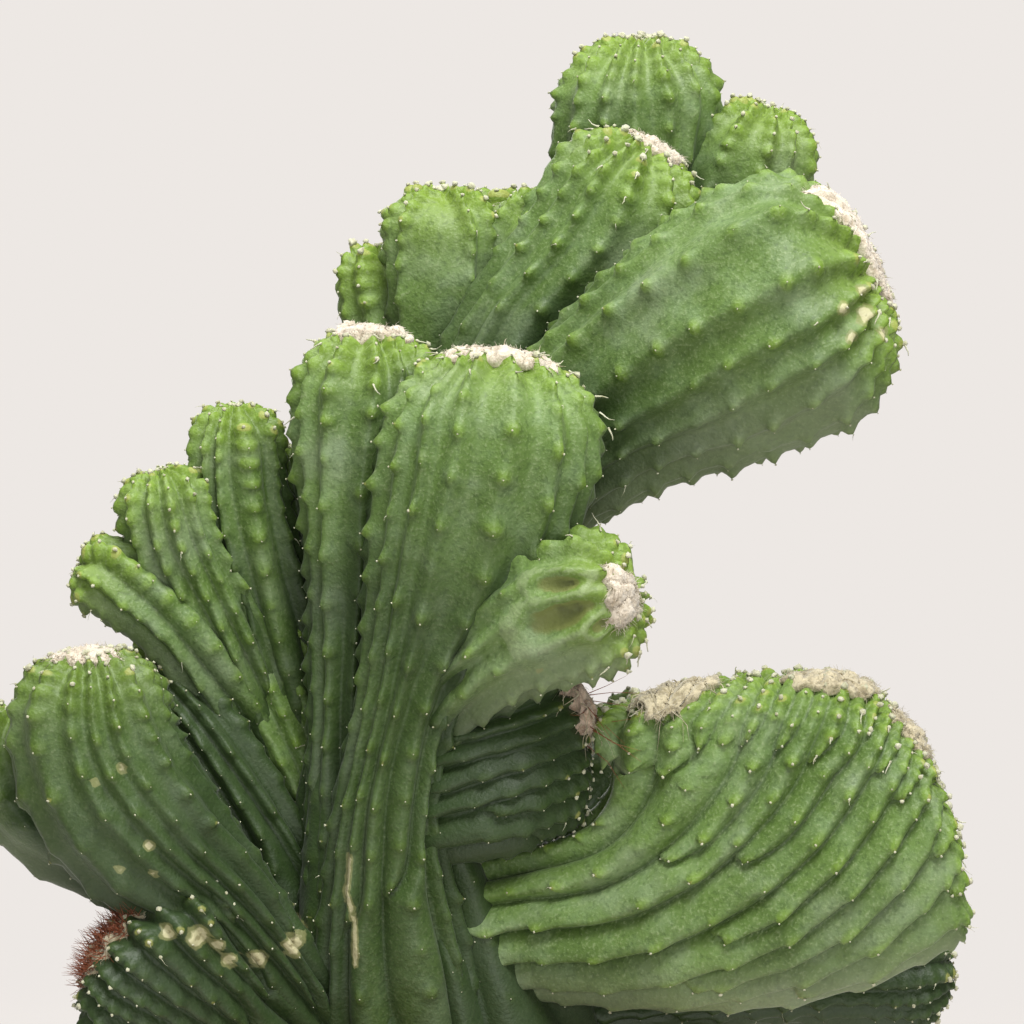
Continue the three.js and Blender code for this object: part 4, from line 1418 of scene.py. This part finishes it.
profile = bmesh.new()
line = [profile.verts.new((radius * MM, 0, z * MM)) for radius, z in pot_profile()]
edges = [profile.edges.new(pair) for pair in zip(line, line[1:])]
long_edges = [edge for edge in edges if edge.calc_length() > 10 * MM]
bmesh.ops.subdivide_edges(profile, edges=long_edges, cuts=12)
bmesh.ops.spin(
    profile, geom=profile.verts[:] + profile.edges[:], axis=(0, 0, 1), cent=(0, 0, 0),
    angle=2 * math.pi, steps=160, use_merge=True,
)
pot_mesh = bpy.data.meshes.new("clay_pot")
profile.to_mesh(pot_mesh)
profile.free()
welded(pot_mesh, 1e-5)
points = get_points(pot_mesh) / MM
radius = np.hypot(points[:, 0], points[:, 1])
outer = ramp(radius, 44, 50)
rings = 0.12 * np.sin(points[:, 2] * 1.9) + 0.10 * np.sin(points[:, 2] * 0.83 + 1)
wobble = 0.15 * lumps(points, 30, 3) + 0.06 * lumps(points, 6, 4)
grown = 1 + (rings * ramp(points[:, 2], 4, 10) + wobble - 0.25) * outer / np.maximum(radius, 1)
points[:, :2] *= grown[:, None]
set_points(pot_mesh, points * MM)
print("pot:", 2 * POT["radius"], "mm wide and", POT["height"], "mm high")

# %% [markdown]
# ## Terracotta
# The pores of the clay let water through, so lime blooms on the outside, more of it higher up
# where the water dries, and the clay is darker towards its foot. The height comes from the Object
# coordinates.

# %% Terracotta
paint = Paint("terracotta")
up = paint.node("ShaderNodeSeparateXYZ", {}, paint.place(), out="Z") * 1000
cloud = paint.noise(18, detail=4)
speck = paint.noise(0.9, detail=3, roughness=0.7)
lime = (paint.noise(9, detail=5, roughness=0.62) + up.step(30, 110) * 0.12).step(0.52, 0.72)
color = paint.mix(cloud.step(0.3, 0.7), tone("9c5334"), tone("bd7350"))
color = paint.mix(speck.step(0.55, 0.7) * 0.4, color, tone("d79a78"))
color = paint.mix((1 - speck.step(0.3, 0.42)) * 0.35, color, tone("6f3a26"))
color = paint.mix((1 - up.step(4, 26)) * 0.4, color, tone("7a4630"))
color = paint.mix(lime * 0.32, color, tone("d8bfae"))
normal = paint.bump(speck * 0.6 + cloud * 0.6, 0.3, 0.7)
terracotta = paint.finish(color, 0.78 + 0.15 * lime, normal)
print("terracotta:", len(terracotta.node_tree.nodes), "nodes")

# %% [markdown]
# ## Drain holes
# A pot for a cactus must drain. Four cylinders in one cutter make the holes, and the Boolean is
# baked into the mesh, so nothing depends on the cutter, which is deleted.

# %% Drain holes
pot = new_object("clay_pot", pot_mesh, terracotta, "pot")
HOLES = dict(count=4, far=28 * MM, radius=5 * MM)
cutter = bmesh.new()
for k in range(HOLES["count"]):
    turn = 2 * math.pi * (k + 0.5) / HOLES["count"]
    hole = Matrix.Translation((HOLES["far"] * math.cos(turn), HOLES["far"] * math.sin(turn), 0))
    bmesh.ops.create_cone(
        cutter, cap_ends=True, segments=32, radius1=HOLES["radius"], radius2=HOLES["radius"],
        depth=40 * MM, matrix=hole,
    )
cutter_mesh = bpy.data.meshes.new("holes")
cutter.to_mesh(cutter_mesh)
cutter.free()
cutter_object = bpy.data.objects.new("holes", cutter_mesh)
bpy.context.collection.objects.link(cutter_object)
cut = pot.modifiers.new("holes", "BOOLEAN")
cut.object = cutter_object
cut.operation = "DIFFERENCE"
cut.solver = "EXACT"
drilled = bpy.data.meshes.new_from_object(pot.evaluated_get(bpy.context.evaluated_depsgraph_get()))
pot.modifiers.clear()
pot.data = drilled
bpy.data.objects.remove(cutter_object)
print("pot:", len(drilled.polygons), "faces")

# %% [markdown]
# ## Soil
# The soil is one closed skin of rings: from the middle, hidden in the trunk, out under its foot,
# over the heaving top to the pot's wall, and down inside the pot to the middle of its floor.

# %% Soil shape
# Heights of the soil's top, of its underside on the pot's floor, and of its point in the trunk.
SOIL_TOP, SOIL_FLOOR, IN_TRUNK = 107, 12, 72
COLUMNS, ROWS = 220, 60


def inner_radius(z):
    """The radius of the pot's inner wall at a height."""
    low, high = POT["floor"] + POT["edge"], POT["height"] - POT["edge"]
    foot, top = POT["foot"] - POT["wall"], POT["radius"] - POT["wall"] - POT["edge"]
    return foot + (z - low) / (high - low) * (top - foot)


trunk = STEMS["trunk"]
trunk_points, _, _, _ = smooth_skin(trunk, COLUMNS, 0.7)
level = np.argmin(np.abs(trunk_points[:, :, 2].mean(axis=1) - SOIL_TOP))
mesh, column, row = grid_mesh("gritty_soil", COLUMNS, ROWS + 4)
turn = np.arctan2(trunk_points[level, :, 1], trunk_points[level, :, 0])
hole = trunk_points[level][:, :2] * 0.985
wall = inner_radius(SOIL_TOP) - 0.3
rim_xy = np.stack([np.cos(turn), np.sin(turn)], axis=1)


def ring(flat, height):
    return np.column_stack([flat, np.full(COLUMNS, float(height))])


rings = [ring(rim_xy * 0, IN_TRUNK)]
for k in range(ROWS + 1):
    share = k / ROWS
    point = ring(hole * (1 - share) + rim_xy * wall * share, SOIL_TOP)
    heave = 1.4 * lumps(point, 14, 11) + 0.9 * lumps(point, 5, 12) + 0.5 * lumps(point, 1.8, 13)
    point[:, 2] += heave * ramp(1 - share, 0.0, 0.08) * 0.7 + 1.2 * (1 - share) ** 6
    rings.append(point)
rings.append(ring(rim_xy * (inner_radius(70) - 0.5), 70))
rings.append(ring(rim_xy * (inner_radius(SOIL_FLOOR) - 0.6), SOIL_FLOOR))
rings.append(ring(rim_xy * 0, SOIL_FLOOR))
rings = np.array(rings)
set_points(mesh, rings[row, column % COLUMNS] * MM)
welded(mesh)

paint = Paint("gritty_soil")
clod = paint.noise(3, detail=4, roughness=0.65)
grit = paint.noise(0.8, detail=3, roughness=0.7)
color = paint.mix(clod.step(0.35, 0.65), tone("2d211a"), tone("5a4434"))
color = paint.mix(grit.step(0.55, 0.7) * 0.5, color, tone("8b735c"))
soil_paint = paint.finish(color, 0.95, paint.bump(grit + clod, 0.8, 0.9))
soil = new_object("gritty_soil", mesh, soil_paint, "soil")
print("soil:", len(mesh.polygons), "faces")

# %% [markdown]
# ## Grit, pumice and bark
# Cactus compost is mostly grit. Stones, pumice and bits of bark are lumps with flat shading, more
# or less pressed flat, that are dropped at random onto the soil. Most are small and a few large,
# as in any gravel, which the power of a random number gives.

# %% Grit, pumice and bark
# Every bit drops from DROP millimetres up, at most STREWN millimetres from the pot's middle.
STREWN, DROP = 66, 115


def scatter(name, count, low, high, flat, finish, seed):
    """Stones or crumbs of low to high millimetres, lying on the soil."""
    random = np.random.default_rng(seed)
    tree = search_tree(soil.data)
    places, ways = [], []
    while len(places) < count:
        turn, far = random.uniform(0, 6.283), STREWN * math.sqrt(random.random())
        start = Vector((far * math.cos(turn), far * math.sin(turn), DROP)) * MM
        spot, normal, _, _ = tree.ray_cast(start, Vector((0, 0, -1)))
        if spot and spot.z > (SOIL_TOP - 7) * MM:
            places.append(np.array(spot) / MM)
            ways.append(np.array(normal))
    places, ways = np.array(places), unit(np.array(ways) + 0.4 * random.normal(size=(count, 3)))
    sizes = low + (high - low) * random.random(count) ** 2.5
    places = places + 0.2 * sizes[:, None] * ways
    mesh = place_lumps(name, lump_template(1), places, ways, sizes, flat, random)
    mesh.shade_flat()
    new_object(name, mesh, finish, "soil")
    print(name, count, "pieces")


def stone(name, dark, light):
    paint = Paint(name)
    tint = paint.noise(2.6, detail=2)
    fine = paint.noise(0.4, detail=3, roughness=0.7)
    color = paint.mix(tint.step(0.4, 0.6), tone(dark), tone(light))
    return paint.finish(paint.mix(fine * 0.4, color, tone(dark)), 0.9, paint.bump(fine, 0.3, 0.7))


scatter("soil_stones", 700, 0.7, 2.6, 0.7, stone("grit", "6c6357", "a89c8a"), 21)
scatter("soil_pumice", 260, 0.9, 2.8, 0.8, stone("pumice", "b8ae9c", "ded6c6"), 22)
scatter("soil_bark", 420, 0.8, 3.0, 0.4, stone("bark", "2c1d14", "5f4330"), 23)
